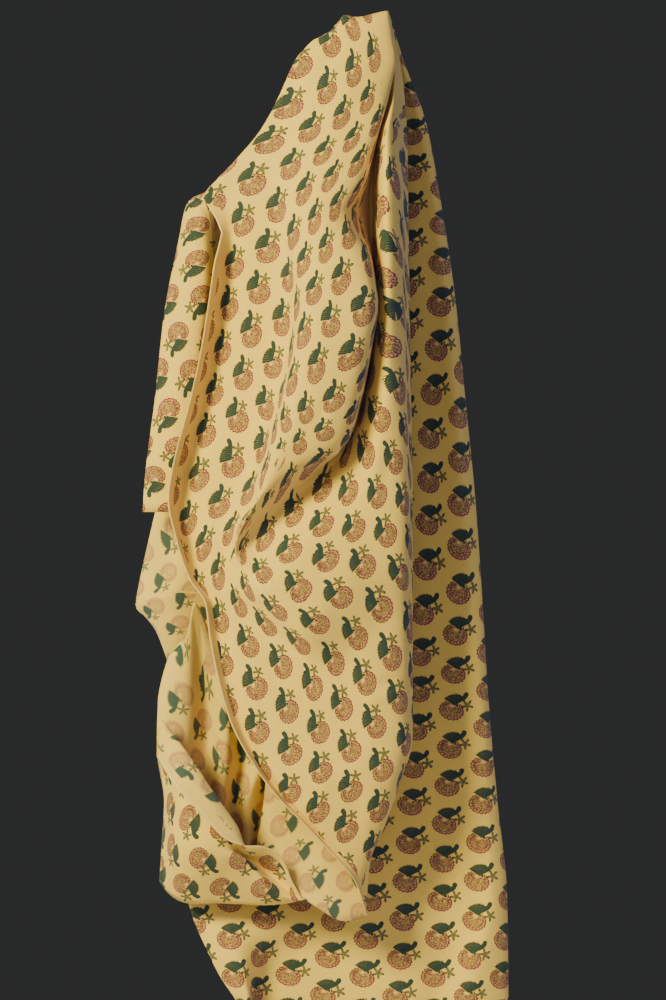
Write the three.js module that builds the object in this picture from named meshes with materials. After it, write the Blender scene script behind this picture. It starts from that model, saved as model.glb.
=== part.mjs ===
import * as THREE from "three";

// Block-printed cotton hung from one gathered top edge: one closed thin sheet, in millimetres.
// The tables hold the folds as they are seen: down and across in rows and columns of the
// photograph, out in millimetres towards the viewer. Everything else is worked out from them.

const PIXEL = 1.05; // millimetres of cloth to a column or row
const FAR = 4000; // millimetres from the viewer to the middle of the cloth
const CENTRE = [333, 500]; // column and row straight ahead of the viewer
const TOP = [367, 13]; // column and row of the middle of the top edge
const THICK = 1.6; // millimetres through the sheet
const STEPS = 2; // cells from one level line to the next
const FINE = 3; // cells from one level line to the next across the tuck
const TUCK = [8, 11]; // levels between which the inner wall is folded up over itself
const SHARED = 8; // level down to which back panel and inner wall are one fold
const SEAM = 3; // level down to which flap and front panel are one fold

// Heights of the level lines, as rows of the photograph, for each stretch of the cloth
const LEVELS = {
  front: [14, 60, 130, 197, 300, 400, 500, 560, 600, 640, 680, 720, 760, 805, 860, 914],
  back: [14, 60, 130, 200, 300, 400, 500, 605, 628, 690, 750, 810, 865, 915, 985, 1085],
  flap: [14, 60, 130, 197, 225, 270, 350, 430, 512],
};

// Front panel, from its selvedge round to the fold at its right: each station is [down, across, out]
const FRONT = {
  selvedge: [[14, 343, 8], [24, 336, 7], [35, 315, 6], [48, 304.5, 6], [60, 295.5, 6], [80, 286.5, 7],
    [100, 277.5, 8], [130, 261, 10], [160, 236, 12], [185, 212.5, 12], [197, 203, 14], [215, 214, 22], [237, 222, 30], [250, 217, 36],
    [300, 209, 40], [350, 201, 40], [400, 190, 40], [470, 172, 40], [500, 168, 40],
    [535, 175, 42], [580, 190, 44], [603, 205, 46], [640, 210, 48], [720, 230, 52],
    [770, 257, 54], [800, 280, 52], [820, 300, 50], [845, 324, 46], [868, 345, 42],
    [885, 357, 36], [914, 366, 30]],
  trough: [[14, 348, 9], [35, 326, 10], [60, 306, 12], [100, 287, 14], [130, 270, 16], [160, 251, 18],
    [185, 235, 18],
    [200, 230, 20], [237, 232, 20], [270, 229, 16], [300, 226, 14], [350, 218, 14],
    [400, 208, 14], [470, 190, 14], [500, 184, 16], [535, 187, 20], [580, 199, 30],
    [600, 211, 36]],
  cheek: [[14, 352, 10], [35, 334, 14], [60, 316, 18], [130, 281, 24], [200, 246, 26], [237, 245, 28], [300, 238, 26],
    [400, 222, 26], [470, 204, 28], [535, 203, 34], [600, 219, 42]],
  foot: [[14, 358, 11], [62, 330, 22], [130, 291, 29], [200, 275, 34], [237, 280, 38], [300, 286, 44],
    [350, 284, 46], [400, 273, 46], [470, 251, 44], [535, 227, 42], [600, 233, 46]],
  step: [[14, 364, 11], [62, 341, 26], [130, 305, 36], [200, 291, 50], [237, 296, 64], [300, 306, 88],
    [350, 300, 94], [400, 289, 96], [430, 282, 95], [470, 268, 88], [500, 258, 76],
    [535, 237, 60], [570, 240, 52], [600, 253, 50]],
  crown: [[14, 374, 11], [62, 366, 28], [130, 340, 44], [177, 325, 60], [214, 320, 72], [260, 336, 86],
    [300, 342, 95], [350, 338, 100], [400, 325, 100], [430, 310, 98], [460, 290, 93],
    [490, 265, 82], [520, 245, 69], [550, 235, 58], [580, 248, 54], [600, 265, 52]],
  lip: [[14, 387, 8], [40, 391, 14], [60, 395, 18], [80, 390, 22], [100, 385, 28], [130, 375.5, 40],
    [155, 368, 46], [180, 359, 56], [197, 348.5, 62], [210, 342.5, 64], [227, 347.5, 70],
    [248, 361.5, 76], [286, 371, 84], [302, 373.5, 88], [323, 371, 90], [357, 364, 90],
    [382, 359.5, 89], [403, 354, 88], [430, 348, 86], [445, 341, 84], [456, 327, 84],
    [466, 304, 82], [488, 276, 76], [515, 254, 67], [550, 237, 56], [580, 256, 54], [600, 276, 53]],
  gully: [[14, 387.4, 4], [60, 394.5, 6], [100, 388, 0], [130, 378.5, -4], [150, 374.5, -8], [200, 371, -10],
    [250, 372, -8], [290, 375, -4], [350, 371, 2], [400, 362, 10], [430, 353, 19],
    [460, 336, 30], [490, 301, 38], [520, 265, 44], [550, 245, 49], [580, 272, 52],
    [600, 291, 53]],
  bank: [[14, 387.6, 2], [60, 395, 3], [100, 391, 7], [130, 382, 18], [150, 379.5, 26], [200, 379, 38],
    [290, 380, 49], [350, 377, 53], [400, 370, 54], [430, 363, 53], [460, 350.5, 51],
    [490, 330, 51], [520, 303, 51], [550, 290, 52], [600, 312, 54]],
  pleat: [[14, 387.8, 0.5], [60, 395.6, 2], [100, 393, 18], [130, 387.5, 38], [150, 387, 48],
    [200, 387, 59], [290, 388.5, 70], [350, 388, 72], [400, 386, 71], [450, 381, 68],
    [500, 374, 63], [550, 358, 60], [600, 352, 58]],
  shoulder: [[14, 387.9, -1], [60, 396, -2], [100, 397, 8], [150, 397.5, 32], [200, 398.5, 46],
    [300, 401, 56], [400, 403, 58], [500, 404.5, 54], [600, 401, 48]],
  nick: [[14, 388, -2.5], [60, 397, -7], [100, 400.5, -6], [150, 403, 4], [200, 404, 12],
    [300, 405.5, 20], [400, 407.5, 24], [500, 410.2, 27], [600, 410.5, 30]],
  fold: [[14, 388.2, -4], [60, 399, -12], [100, 404.5, -18], [150, 407, -20], [200, 407.5, -20],
    [300, 408.5, -16], [400, 410, -8], [450, 411, 0], [500, 411.7, 6], [600, 411.8, 12],
    [720, 412, 15], [740, 411.5, 16], [780, 400.5, 18], [820, 386.5, 20], [845, 375.8, 22],
    [868, 366.5, 23], [885, 361.2, 24], [914, 367.5, 22]],
};

// Front panel below its creases: share of the way from selvedge to fold, belly in mm, cells to the next line
const LOWER = {
  selvedge: [0.0, 0, 2],
  trough: [0.045, -8, 2],
  cheek: [0.105, 1, 2],
  foot: [0.21, 8, 2],
  step: [0.33, 14, 2],
  crown: [0.43, 19, 2],
  lip: [0.50, 22, 3],
  gully: [0.565, 25, 2],
  bank: [0.655, 29, 2],
  pleat: [0.79, 34, 2],
  shoulder: [0.945, 30, 2],
  nick: [0.99, 16, 2],
  fold: [1.0, 0, 2],
};

// Inner wall, from the fold back to the left: each station is [level, across, down, out]
const WALL = {
  heel: [[0, 386, 14, -8], [1, 394, 60, -19], [2, 399, 130, -28], [3, 400, 197, -30], [4, 400, 300, -26],
    [5, 401, 400, -18], [6, 402, 500, -6], [8, 404, 600, 0], [11, 404, 720, 4],
    [12, 400, 762, 6], [13, 386, 806, 9], [14, 369, 862, 14], [15, 366, 916, 21]],
  keel: [[7, 350, 590, -14], [9, 352, 665, -12], [10, 354, 700, -10], [11, 352, 735, -8],
    [12, 340, 775, -4], [13, 322, 820, 2], [13.6, 313, 845, 12], [14.3, 322, 872, 22],
    [15, 342, 921, 26]],
  kerb: [[7, 300, 600, -20], [9, 300, 675, -24], [10, 296, 710, -22], [11, 286, 735, -14],
    [12, 270, 765, -6], [13, 265, 805, -2], [14, 258, 848, 2], [15, 303, 900, 20]],
  dark: [[7, 285, 605, -26], [9, 284, 680, -30], [10, 282, 715, -32], [11, 276, 740, -36],
    [12, 272, 770, -40], [13, 268, 808, -40], [14, 262, 852, -34], [15, 288, 903, 8]],
  comb: [[7, 262, 605, -26], [9, 263, 685, -28], [11, 264, 740, -22], [12, 258, 770, -18],
    [13, 246, 808, -16], [14, 250, 855, -14], [15, 265, 905, 4]],
  dell: [[7, 238, 602, -26], [8, 238, 646, -30], [9, 240, 676, -36], [11, 243, 740, -34],
    [12, 240, 772, -34], [13, 234, 808, -34], [14, 233, 858, -26], [15, 240, 904, 2]],
  rise: [[7, 214, 597, -22], [8, 215, 645, -28], [8.7, 218, 676, -42], [9.3, 219, 676, -32], [10, 220, 662, -24],
    [11, 226, 720, -12], [12, 225, 760, -10], [13, 220, 802, -12], [14, 215, 856, -12],
    [15, 215, 903, 0]],
  glen: [[7, 192, 592, -14], [8, 196, 645, -26], [8.7, 202, 686, -46], [9.3, 203, 684, -30], [10, 195, 603, 4],
    [11, 205, 710, -30], [12, 205, 752, -32], [13, 203, 800, -30], [14, 198, 856, -24],
    [15, 197, 904, -2]],
  spur: [[7, 170, 592, -8], [8, 176, 641, -22], [8.7, 187, 690, -46], [9.3, 188, 688, -28], [10, 187, 635, -1],
    [11, 188, 705, -8], [12, 185, 752, -10], [13, 184, 800, -14], [14, 182, 852, -14],
    [15, 179, 900.5, -4]],
  flank: [[7, 150, 598, -14], [8, 160, 634, -26], [8.7, 176, 682, -46], [9.3, 177, 680, -30], [10, 177, 646, -6],
    [11, 168, 704, -8], [12, 166, 752, -8], [14, 169, 848, -10], [15, 167.5, 892, -7]],
  left: [[0, 350, 14, -11], [1, 321, 60, -24], [2, 280, 130, -33], [3, 214, 200, -38],
    [3.4, 201, 236, -42], [4, 194, 300, -44], [5, 178, 400, -44], [6, 158, 500, -42],
    [7, 136, 605, -34], [7.5, 147, 618, -36], [8, 158, 633, -38], [8.7, 171, 668, -46], [9.3, 172, 668, -32], [10, 170, 655, -14], [11, 158, 702, -14],
    [12, 157, 750, -14], [13, 164, 800, -12], [14, 162, 842, -10], [15, 159.5, 881, -8]],
};

// Turned-up front of the pocket, row by row from the bottom fold: each station is [across, down, out]
const POCKET = {
  crest: [[303, 900, 20], [290, 898, 22], [270, 887, 26], [253, 869, 32], [237, 855, 42],
    [222, 852, 46], [200, 848, 46], [178, 845, 34], [163, 820, -11]],
  hollow: [[303, 900, 20], [290.5, 891, 16], [274, 877, 12], [257, 865, 12], [241, 855, 24],
    [230, 842, 42], [208, 818, 48], [184, 792, 38], [162, 770, -13]],
  ridge: [[303, 900, 20], [293, 884, 26], [282, 861, 36], [266, 850, 42], [247, 848, 46],
    [237, 826, 50], [216, 796, 56], [190, 757, 50], [163, 720, 14]],
  turn: [[303, 900, 20], [292.5, 882.5, 28], [281.5, 858.5, 38], [265, 847.5, 45], [245, 846, 49],
    [233, 831, 57], [209, 802, 64], [183, 768, 58], [158, 735, 24]],
  hem: [[303, 900, 20], [292, 881, 29], [281, 857, 39], [264, 846.5, 46], [244, 845.5, 50],
    [225, 839, 56], [200, 812, 63], [176, 787, 60], [157, 757, 30]],
};

// Soft fold across the lower front, raised at its upper right: from and to are [across, down],
// then rows from the fold's foot to its height, rows over which it fades, and millimetres of lift
const SWELL = {
  from: [225, 572],
  to: [338, 680],
  rise: 26,
  fade: 110,
  lift: 26,
};

// Rise and fall of the gathered top edge: each station is [across, millimetres up]
const BRIM = [[330, -8], [338, -4], [346, -1.4], [357, -3.2], [373, 0.2], [388, 3.2], [396, 3.2]];

// Hanging flap at the left: each station is [down, across, out]
const FLAP = {
  slit: [[197, 204, 14], [225, 212, 6], [270, 214, 4], [350, 208, 2], [430, 200, 2], [514, 192, 2]],
  crease: [[14, 344.5, 4], [35, 318, 2], [60, 299, 0], [130, 264.5, 2], [185, 218, 0], [200, 198.5, 8], [225, 203, 14],
    [270, 204, 16], [350, 197, 12], [430, 192, 10], [512, 186, 6]],
  panel: [[14, 349, 0], [35, 324, -3], [60, 305, -5], [130, 273, -6], [185, 222, -8], [200, 194, 2], [225, 192, 12],
    [270, 188, 14], [350, 178, 12], [430, 170, 12], [512, 162, 8]],
  side: [[14, 354, -1], [35, 332, -5], [60, 313, -8], [130, 283, -13], [185, 224, -18], [200, 190, -8],
    [210, 185, -6], [235, 180, -4], [310, 165, -2], [400, 155, 0], [480, 145, 2],
    [508, 143, 2]],
  tuck: [[14, 360, -1.5], [35, 340, -6], [60, 322, -9], [130, 294, -16], [185, 232, -24], [200, 199, -20],
    [225, 194, -20], [310, 178, -20], [400, 168, -18], [480, 158, -16], [510, 156, -16]],
};

// Back panel, from its free edge at the left to the turned-back right: each station is [down, across, out]
const BACK = {
  free: [[605, 136, -34], [633, 158, -38], [690, 176, -56], [750, 186, -52], [800, 188, -52],
    [865, 186, -44], [900, 188, -36], [915, 192, -32], [950, 207, -28], [978, 221, -26],
    [1000, 236, -26], [1085, 270, -30]],
  lobe: [[14, 353, -16], [60, 340, -34], [130, 308, -46], [200, 258, -54], [400, 212, -64],
    [600, 175, -62], [700, 205, -60], [800, 213, -58], [865, 216, -48], [915, 226, -30],
    [950, 238, -16], [1000, 249, -14], [1085, 282, -18]],
  gap: [[14, 358, -17.5], [60, 355, -37], [130, 335, -49], [200, 295, -60], [400, 250, -68],
    [600, 225, -68], [800, 255, -64], [880, 305, -58], [917, 320, -48], [936, 292, -44],
    [960, 270, -44], [979, 257, -44], [1000, 254, -44], [1085, 286, -46]],
  mid: [[14, 366, -18], [60, 370, -38], [130, 364, -49], [200, 344, -60], [400, 304, -68],
    [600, 290, -68], [800, 312, -66], [917, 345, -52], [960, 318, -50], [1000, 302, -48],
    [1085, 322, -50]],
  shade: [[14, 375, -18], [60, 385, -36], [130, 396, -47], [200, 400, -54], [300, 400, -62],
    [400, 398, -66], [500, 395, -68], [800, 385, -66], [915, 382, -54], [1000, 352, -48],
    [1085, 364, -50]],
  broad: [[14, 382, -17.5], [60, 396, -32], [130, 413, -42], [200, 422, -47], [300, 430, -55],
    [400, 433, -59], [500, 435, -61], [800, 437, -59], [915, 428, -51], [1000, 408, -45],
    [1085, 414, -47]],
  brim: [[14, 386, -17.5], [60, 401, -30], [130, 421, -39], [200, 434, -44], [300, 446, -50],
    [400, 455, -52], [500, 463, -54], [600, 469, -55], [800, 480, -52], [900, 474, -48],
    [1000, 440, -50], [1085, 440, -52]],
  rib: [[14, 387.5, -18], [60, 402.5, -31], [130, 425, -41], [200, 438, -47], [300, 452, -53],
    [400, 461, -56], [500, 470, -58], [600, 477, -59], [800, 489, -54], [900, 492, -44],
    [1000, 472, -36], [1085, 474, -38]],
  edge: [[14, 388, -20], [60, 403, -34], [120, 425, -44], [200, 440, -54], [300, 455, -60],
    [400, 465, -64], [500, 475, -66], [600, 482, -67], [700, 488, -67], [800, 497, -66],
    [900, 507, -60], [1000, 508, -56], [1085, 508, -56]],
  under: [[14, 384, -24], [60, 396, -44], [120, 412, -56], [200, 424, -66], [400, 445, -78],
    [600, 460, -82], [800, 475, -82], [900, 484, -76], [1000, 484, -72], [1085, 484, -72]],
};

// Smooth curve through a table's stations that never swings past them
function curve(keys, values, at) {
  const n = keys.length;
  const gap = [];
  const rise = [];
  for (let i = 0; i < n - 1; i += 1) {
    gap.push(keys[i + 1] - keys[i]);
    rise.push((values[i + 1] - values[i]) / gap[i]);
  }
  const lean = new Array(n).fill(0);
  lean[0] = rise[0];
  lean[n - 1] = rise[n - 2];
  for (let i = 1; i < n - 1; i += 1) {
    if (rise[i - 1] * rise[i] > 0) {
      const before = 2 * gap[i] + gap[i - 1];
      const after = gap[i] + 2 * gap[i - 1];
      lean[i] = (before + after) / (before / rise[i - 1] + after / rise[i]);
    }
  }
  let k = 0;
  while (k < n - 2 && at >= keys[k + 1]) {
    k += 1;
  }
  const t = Math.min(Math.max((at - keys[k]) / gap[k], 0), 1);
  const s = 1 - t;
  const ends = values[k] * s * s * (1 + 2 * t) + values[k + 1] * t * t * (1 + 2 * s);
  return ends + gap[k] * t * s * (lean[k] * s - lean[k + 1] * t);
}

function column(table, index) {
  return table.map((station) => station[index]);
}

function mix(a, b, share) {
  return a.map((value, i) => value + (b[i] - value) * share);
}

function ease(t) {
  const held = Math.min(Math.max(t, 0), 1);
  return held * held * (3 - 2 * held);
}

// A station's place in space: x across, y away from the viewer, z up
function place(across, down, out) {
  const near = (PIXEL * (FAR - out)) / FAR;
  const x = (across - CENTRE[0]) * near - (TOP[0] - CENTRE[0]) * PIXEL;
  const z = (CENTRE[1] - down) * near - (CENTRE[1] - TOP[1]) * PIXEL;
  return [x, -out, z];
}

// A line whose stations are [down, across, out], at a height
function hang(table, down) {
  const keys = column(table, 0);
  return place(curve(keys, column(table, 1), down), down, curve(keys, column(table, 2), down));
}

// A line whose stations are [level, across, down, out], at a level
function run(table, level) {
  const keys = column(table, 0);
  return place(...[1, 2, 3].map((index) => curve(keys, column(table, index), level)));
}

// Column and row at which a point in space is seen
function seen(point) {
  const near = (PIXEL * (FAR + point[1])) / FAR;
  const across = (point[0] + (TOP[0] - CENTRE[0]) * PIXEL) / near + CENTRE[0];
  const down = CENTRE[1] - (point[2] + (CENTRE[1] - TOP[1]) * PIXEL) / near;
  return [across, down];
}

// The soft diagonal fold: a point moves towards the viewer, so it is still seen in the same place
function swelled(point) {
  const [across, down] = seen(point);
  const along = [SWELL.to[0] - SWELL.from[0], SWELL.to[1] - SWELL.from[1]];
  const length = Math.hypot(...along);
  const offset = [across - SWELL.from[0], down - SWELL.from[1]];
  const share = (offset[0] * along[0] + offset[1] * along[1]) / (length * length);
  const beside = (offset[0] * along[1] - offset[1] * along[0]) / length;
  const rise = ease(beside / SWELL.rise + 0.5) * (1 - ease((beside - SWELL.rise) / SWELL.fade));
  const lift = SWELL.lift * rise * ease(share / 0.3) * ease((1 - share) / 0.45);
  return mix(point, place(...CENTRE, FAR), lift / (FAR + point[1]));
}

// The top edge isn't level: points near it move up or down by the brim's table
function brimmed(point) {
  const [across, down] = seen(point);
  const lift = curve(column(BRIM, 0), column(BRIM, 1), across) * ease((60 - down) / 46);
  return [point[0], point[1], point[2] + lift];
}

function height(kind, level) {
  const heights = LEVELS[kind];
  return curve(heights.map((value, i) => i), heights, level);
}

// Rounded path through the lines of one level, with a number of cells from each to the next;
// before and after are the lines that a neighbouring stretch goes on with
function round(points, cells, before, after) {
  const first = before || mix(points[1], points[0], 2);
  const last = after || mix(points[points.length - 2], points[points.length - 1], 2);
  const all = [first, ...points, last];
  const path = [];
  const reach = (a, b) => Math.sqrt(Math.max(Math.hypot(...a.map((v, i) => b[i] - v)), 0.001));
  for (let k = 0; k < points.length - 1; k += 1) {
    const [p0, p1, p2, p3] = all.slice(k, k + 4);
    const t1 = reach(p0, p1);
    const t2 = t1 + reach(p1, p2);
    const t3 = t2 + reach(p2, p3);
    const stops = cells[k] + (k === points.length - 2 ? 1 : 0);
    for (let q = 0; q < stops; q += 1) {
      const t = t1 + ((t2 - t1) * q) / cells[k];
      const a1 = mix(p0, p1, t / t1);
      const a2 = mix(p1, p2, (t - t1) / (t2 - t1));
      const a3 = mix(p2, p3, (t - t2) / (t3 - t2));
      const b1 = mix(a1, a2, t / t2);
      const b2 = mix(a2, a3, (t - t1) / (t3 - t1));
      path.push(mix(b1, b2, (t - t1) / (t2 - t1)));
    }
  }
  return path;
}

// Points of the front panel's lines at one level; below its creases they share out its width
function frontLines(level) {
  const down = height("front", level);
  const start = hang(FRONT.selvedge, down);
  const end = hang(FRONT.fold, down);
  const low = ease((down - 560) / 80);
  const belly = Math.min(1, Math.abs(end[0] - start[0]) / 150);
  return Object.entries(FRONT).map(([name, table]) => {
    const [share, lift] = LOWER[name];
    if (share === 0 || share === 1) {
      return hang(table, down);
    }
    const spread = mix(start, end, share);
    spread[1] -= lift * belly;
    return mix(hang(table, down), spread, low);
  });
}

// Points of the inner wall's lines at one level; its hidden upper half is an even fan
function wallLines(level) {
  const names = Object.keys(WALL);
  const heel = run(WALL.heel, level);
  const left = run(WALL.left, level);
  const low = ease((level - 5.5) / 1.5);
  return names.map((name, k) => {
    if (name === "heel") {
      return heel;
    }
    if (name === "left") {
      return left;
    }
    const fan = mix(heel, left, k / (names.length - 1));
    fan[1] += 3 * Math.sin(2.1 * k) * ease((level - 2) / 2);
    return mix(fan, run(WALL[name], Math.max(level, WALL[name][0][0])), low);
  });
}

const WALL_CELLS = [3, 3, 2, 2, 2, 2, 2, 2, 2, 2];
const POCKET_CELLS = [3, 3, 2, 2, 2];
const FLAP_CELLS = [2, 2, 2, 2];
const BACK_CELLS = [3, 3, 3, 3, 2, 2, 2, 2, 2];

// Levels of the rows: even steps, with finer ones across the tuck
function levels(count) {
  const list = [];
  for (let k = 0; k < count; k += 1) {
    const steps = k >= TUCK[0] && k < TUCK[1] ? FINE : STEPS;
    for (let i = 0; i < steps; i += 1) {
      list.push(k + i / steps);
    }
  }
  list.push(count);
  return list;
}

// Front panel and inner wall, as rows of points
function mainGrid() {
  const front = Object.values(LOWER).map((line) => line[2]);
  const panel = front.slice(0, -1).reduce((sum, n) => sum + n, 0);
  return levels(15).map((level) => {
    const before = level <= SEAM ? hang(FLAP.crease, height("flap", level)) : null;
    const after = level <= SHARED ? hang(BACK.lobe, height("back", level)) : null;
    const lines = [...frontLines(level), ...wallLines(level)];
    const row = round(lines, front.concat(WALL_CELLS), before, after);
    return row.map((point, k) => (k <= panel ? swelled(point) : point));
  });
}

// Back panel; down to the shared level its left edge is the inner wall's own
function backGrid(main) {
  const names = Object.keys(BACK);
  return levels(15).map((level, row) => {
    const down = height("back", level);
    const lines = names.map((name) => hang(BACK[name], down));
    if (level > SHARED) {
      return round(lines, BACK_CELLS);
    }
    lines[0] = main[row][main[row].length - 1];
    return round(lines, BACK_CELLS, wallLines(level)[Object.keys(WALL).length - 2]);
  });
}

// Flap; down to the seam its inner edge is the front panel's own
function flapGrid(main) {
  const names = Object.keys(FLAP);
  return levels(8).map((level, row) => {
    const down = height("flap", level);
    const lines = names.map((name) => hang(FLAP[name], down));
    if (level > SEAM) {
      return round(lines, FLAP_CELLS);
    }
    lines[0] = main[row][0];
    return round(lines, FLAP_CELLS, frontLines(level)[1]);
  });
}

// Turned-up front of the pocket; it starts on the bottom fold and on the left fold of the wall
function pocketGrid(main) {
  const skipped = 2;
  const cells = WALL_CELLS.slice(skipped);
  const width = cells.reduce((sum, n) => sum + n, 0);
  const last = main[main.length - 1];
  const bottom = last.slice(last.length - 1 - width);
  const base = Object.values(WALL).slice(skipped).map((table) => place(...table[table.length - 1].slice(1)));
  const lines = [base, ...Object.values(POCKET).map((line) => line.map((s) => place(...s)))];
  const wide = lines.map((line) => round(line, cells));
  const grid = [];
  for (let i = 0; i <= POCKET_CELLS.reduce((sum, n) => sum + n, 0); i += 1) {
    grid.push([]);
  }
  for (let k = 0; k <= width; k += 1) {
    round(wide.map((line) => line[k]), POCKET_CELLS).forEach((point, i) => grid[i].push(point));
  }
  grid[0] = bottom;
  const shared = POCKET_CELLS[0] + POCKET_CELLS[1];
  for (let i = 1; i <= Math.min(shared, 6); i += 1) {
    const row = main[main.length - 1 - i];
    if (row) {
      grid[i][width] = row[row.length - 1];
    }
  }
  return grid;
}

// Joins the grids where their points meet, and gives corners and triangles
function weld(grids) {
  const places = new Map();
  const corners = [];
  const faces = [];
  const mark = (point) => {
    const key = point.map((v) => Math.round(v * 1000)).join(" ");
    if (!places.has(key)) {
      places.set(key, corners.length);
      corners.push(point);
    }
    return places.get(key);
  };
  const add = (a, b, c) => {
    if (a !== b && b !== c && c !== a) {
      faces.push([a, b, c]);
    }
  };
  for (const { grid, turned } of grids) {
    const ids = grid.map((row) => row.map((point) => mark(brimmed(point))));
    for (let i = 0; i < ids.length - 1; i += 1) {
      for (let k = 0; k < ids[i].length - 1; k += 1) {
        const square = [ids[i][k], ids[i + 1][k], ids[i + 1][k + 1], ids[i][k + 1]];
        if (turned) {
          square.reverse();
        }
        add(square[0], square[1], square[2]);
        add(square[0], square[2], square[3]);
      }
    }
  }
  return { corners, faces };
}

// The sheet as a closed body: both sides and the rim between them
function thicken({ corners, faces }, thick) {
  const vectors = corners.map((p) => new THREE.Vector3(...p));
  const normals = corners.map(() => new THREE.Vector3());
  const uses = new Map();
  for (const face of faces) {
    const [a, b, c] = face.map((i) => vectors[i]);
    const area = b.clone().sub(a).cross(c.clone().sub(a));
    face.forEach((i) => normals[i].add(area));
    for (let k = 0; k < 3; k += 1) {
      const from = face[k];
      const to = face[(k + 1) % 3];
      uses.set(`${from} ${to}`, (uses.get(`${from} ${to}`) || 0) + 1);
    }
  }
  const points = [];
  const half = thick / 2;
  for (const side of [1, -1]) {
    vectors.forEach((v, i) => {
      const p = v.clone().addScaledVector(normals[i].clone().normalize(), side * half);
      points.push(p.x, p.y, p.z);
    });
  }
  const n = corners.length;
  const index = [];
  for (const [a, b, c] of faces) {
    index.push(a, b, c, a + n, c + n, b + n);
  }
  for (const key of uses.keys()) {
    const [from, to] = key.split(" ").map(Number);
    if (!uses.has(`${to} ${from}`)) {
      index.push(from, from + n, to + n, from, to + n, to);
    }
  }
  const geometry = new THREE.BufferGeometry();
  geometry.setAttribute("position", new THREE.Float32BufferAttribute(points, 3));
  geometry.setIndex(index);
  geometry.computeVertexNormals();
  return geometry;
}

const main = mainGrid();
const sheet = weld([
  { grid: main, turned: false },
  { grid: backGrid(main), turned: false },
  { grid: flapGrid(main), turned: true },
  { grid: pocketGrid(main), turned: false },
]);

const cotton = new THREE.MeshStandardMaterial({ color: 0xe2cc92, roughness: 0.85, metalness: 0 });
const cloth = new THREE.Mesh(thicken(sheet, THICK), cotton);
cloth.name = "cloth";

const group = new THREE.Group();
group.add(cloth);

export default group;
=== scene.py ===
"""Block-printed cotton, hung from its gathered top edge."""

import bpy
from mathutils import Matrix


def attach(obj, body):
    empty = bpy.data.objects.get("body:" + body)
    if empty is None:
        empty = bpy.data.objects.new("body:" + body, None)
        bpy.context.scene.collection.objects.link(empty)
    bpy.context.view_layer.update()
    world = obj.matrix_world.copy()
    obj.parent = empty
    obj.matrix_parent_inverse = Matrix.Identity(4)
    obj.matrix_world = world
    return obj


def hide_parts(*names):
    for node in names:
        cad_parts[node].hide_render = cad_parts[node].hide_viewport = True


bl_info = {
    "name": "Hung Block-Printed Cotton",
    "version": (1, 0, 0),
    "blender": (4, 5, 0),
    "location": "3D View > Sidebar > Cotton",
    "description": "Hangs a length of cotton in its folds, prints and weaves it, and lights it",
    "category": "Mesh",
}

import bpy
import numpy as np

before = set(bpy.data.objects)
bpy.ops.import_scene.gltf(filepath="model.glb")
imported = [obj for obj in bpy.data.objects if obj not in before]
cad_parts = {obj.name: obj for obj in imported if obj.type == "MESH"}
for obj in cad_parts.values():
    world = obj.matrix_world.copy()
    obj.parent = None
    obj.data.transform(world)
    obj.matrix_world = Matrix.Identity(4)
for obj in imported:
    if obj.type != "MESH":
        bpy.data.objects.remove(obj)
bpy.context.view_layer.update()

# How a place in the photograph becomes a place in space
PIXEL = 0.00105  # metres of cloth to a column or row
FAR = 4.0  # metres from the viewer to the middle of the cloth
CENTRE = (333.0, 500.0)  # column and row straight ahead of the viewer
TOP = (367.0, 13.0)  # column and row of the middle of the top edge

# How finely the sheet is cut into cells
FINER = 4  # cells of this sheet to each cell of the solid, each way
STEPS = 2  # cells of the solid from one level line to the next
TUCKED = 3  # the same across the tuck
TUCK = (8, 11)  # levels between which the inner wall is folded up over itself
SHARED = 8  # level down to which back panel and inner wall are one fold
SEAM = 3  # level down to which flap and front panel are one fold

# Heights of the level lines, as rows of the photograph, for each stretch of the cloth
LEVELS = {
    "front": [14, 60, 130, 197, 300, 400, 500, 560, 600, 640, 680, 720, 760, 805, 860, 914],
    "back": [14, 60, 130, 200, 300, 400, 500, 605, 628, 690, 750, 810, 865, 915, 985, 1085],
    "flap": [14, 60, 130, 197, 225, 270, 350, 430, 512],
}

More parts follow.
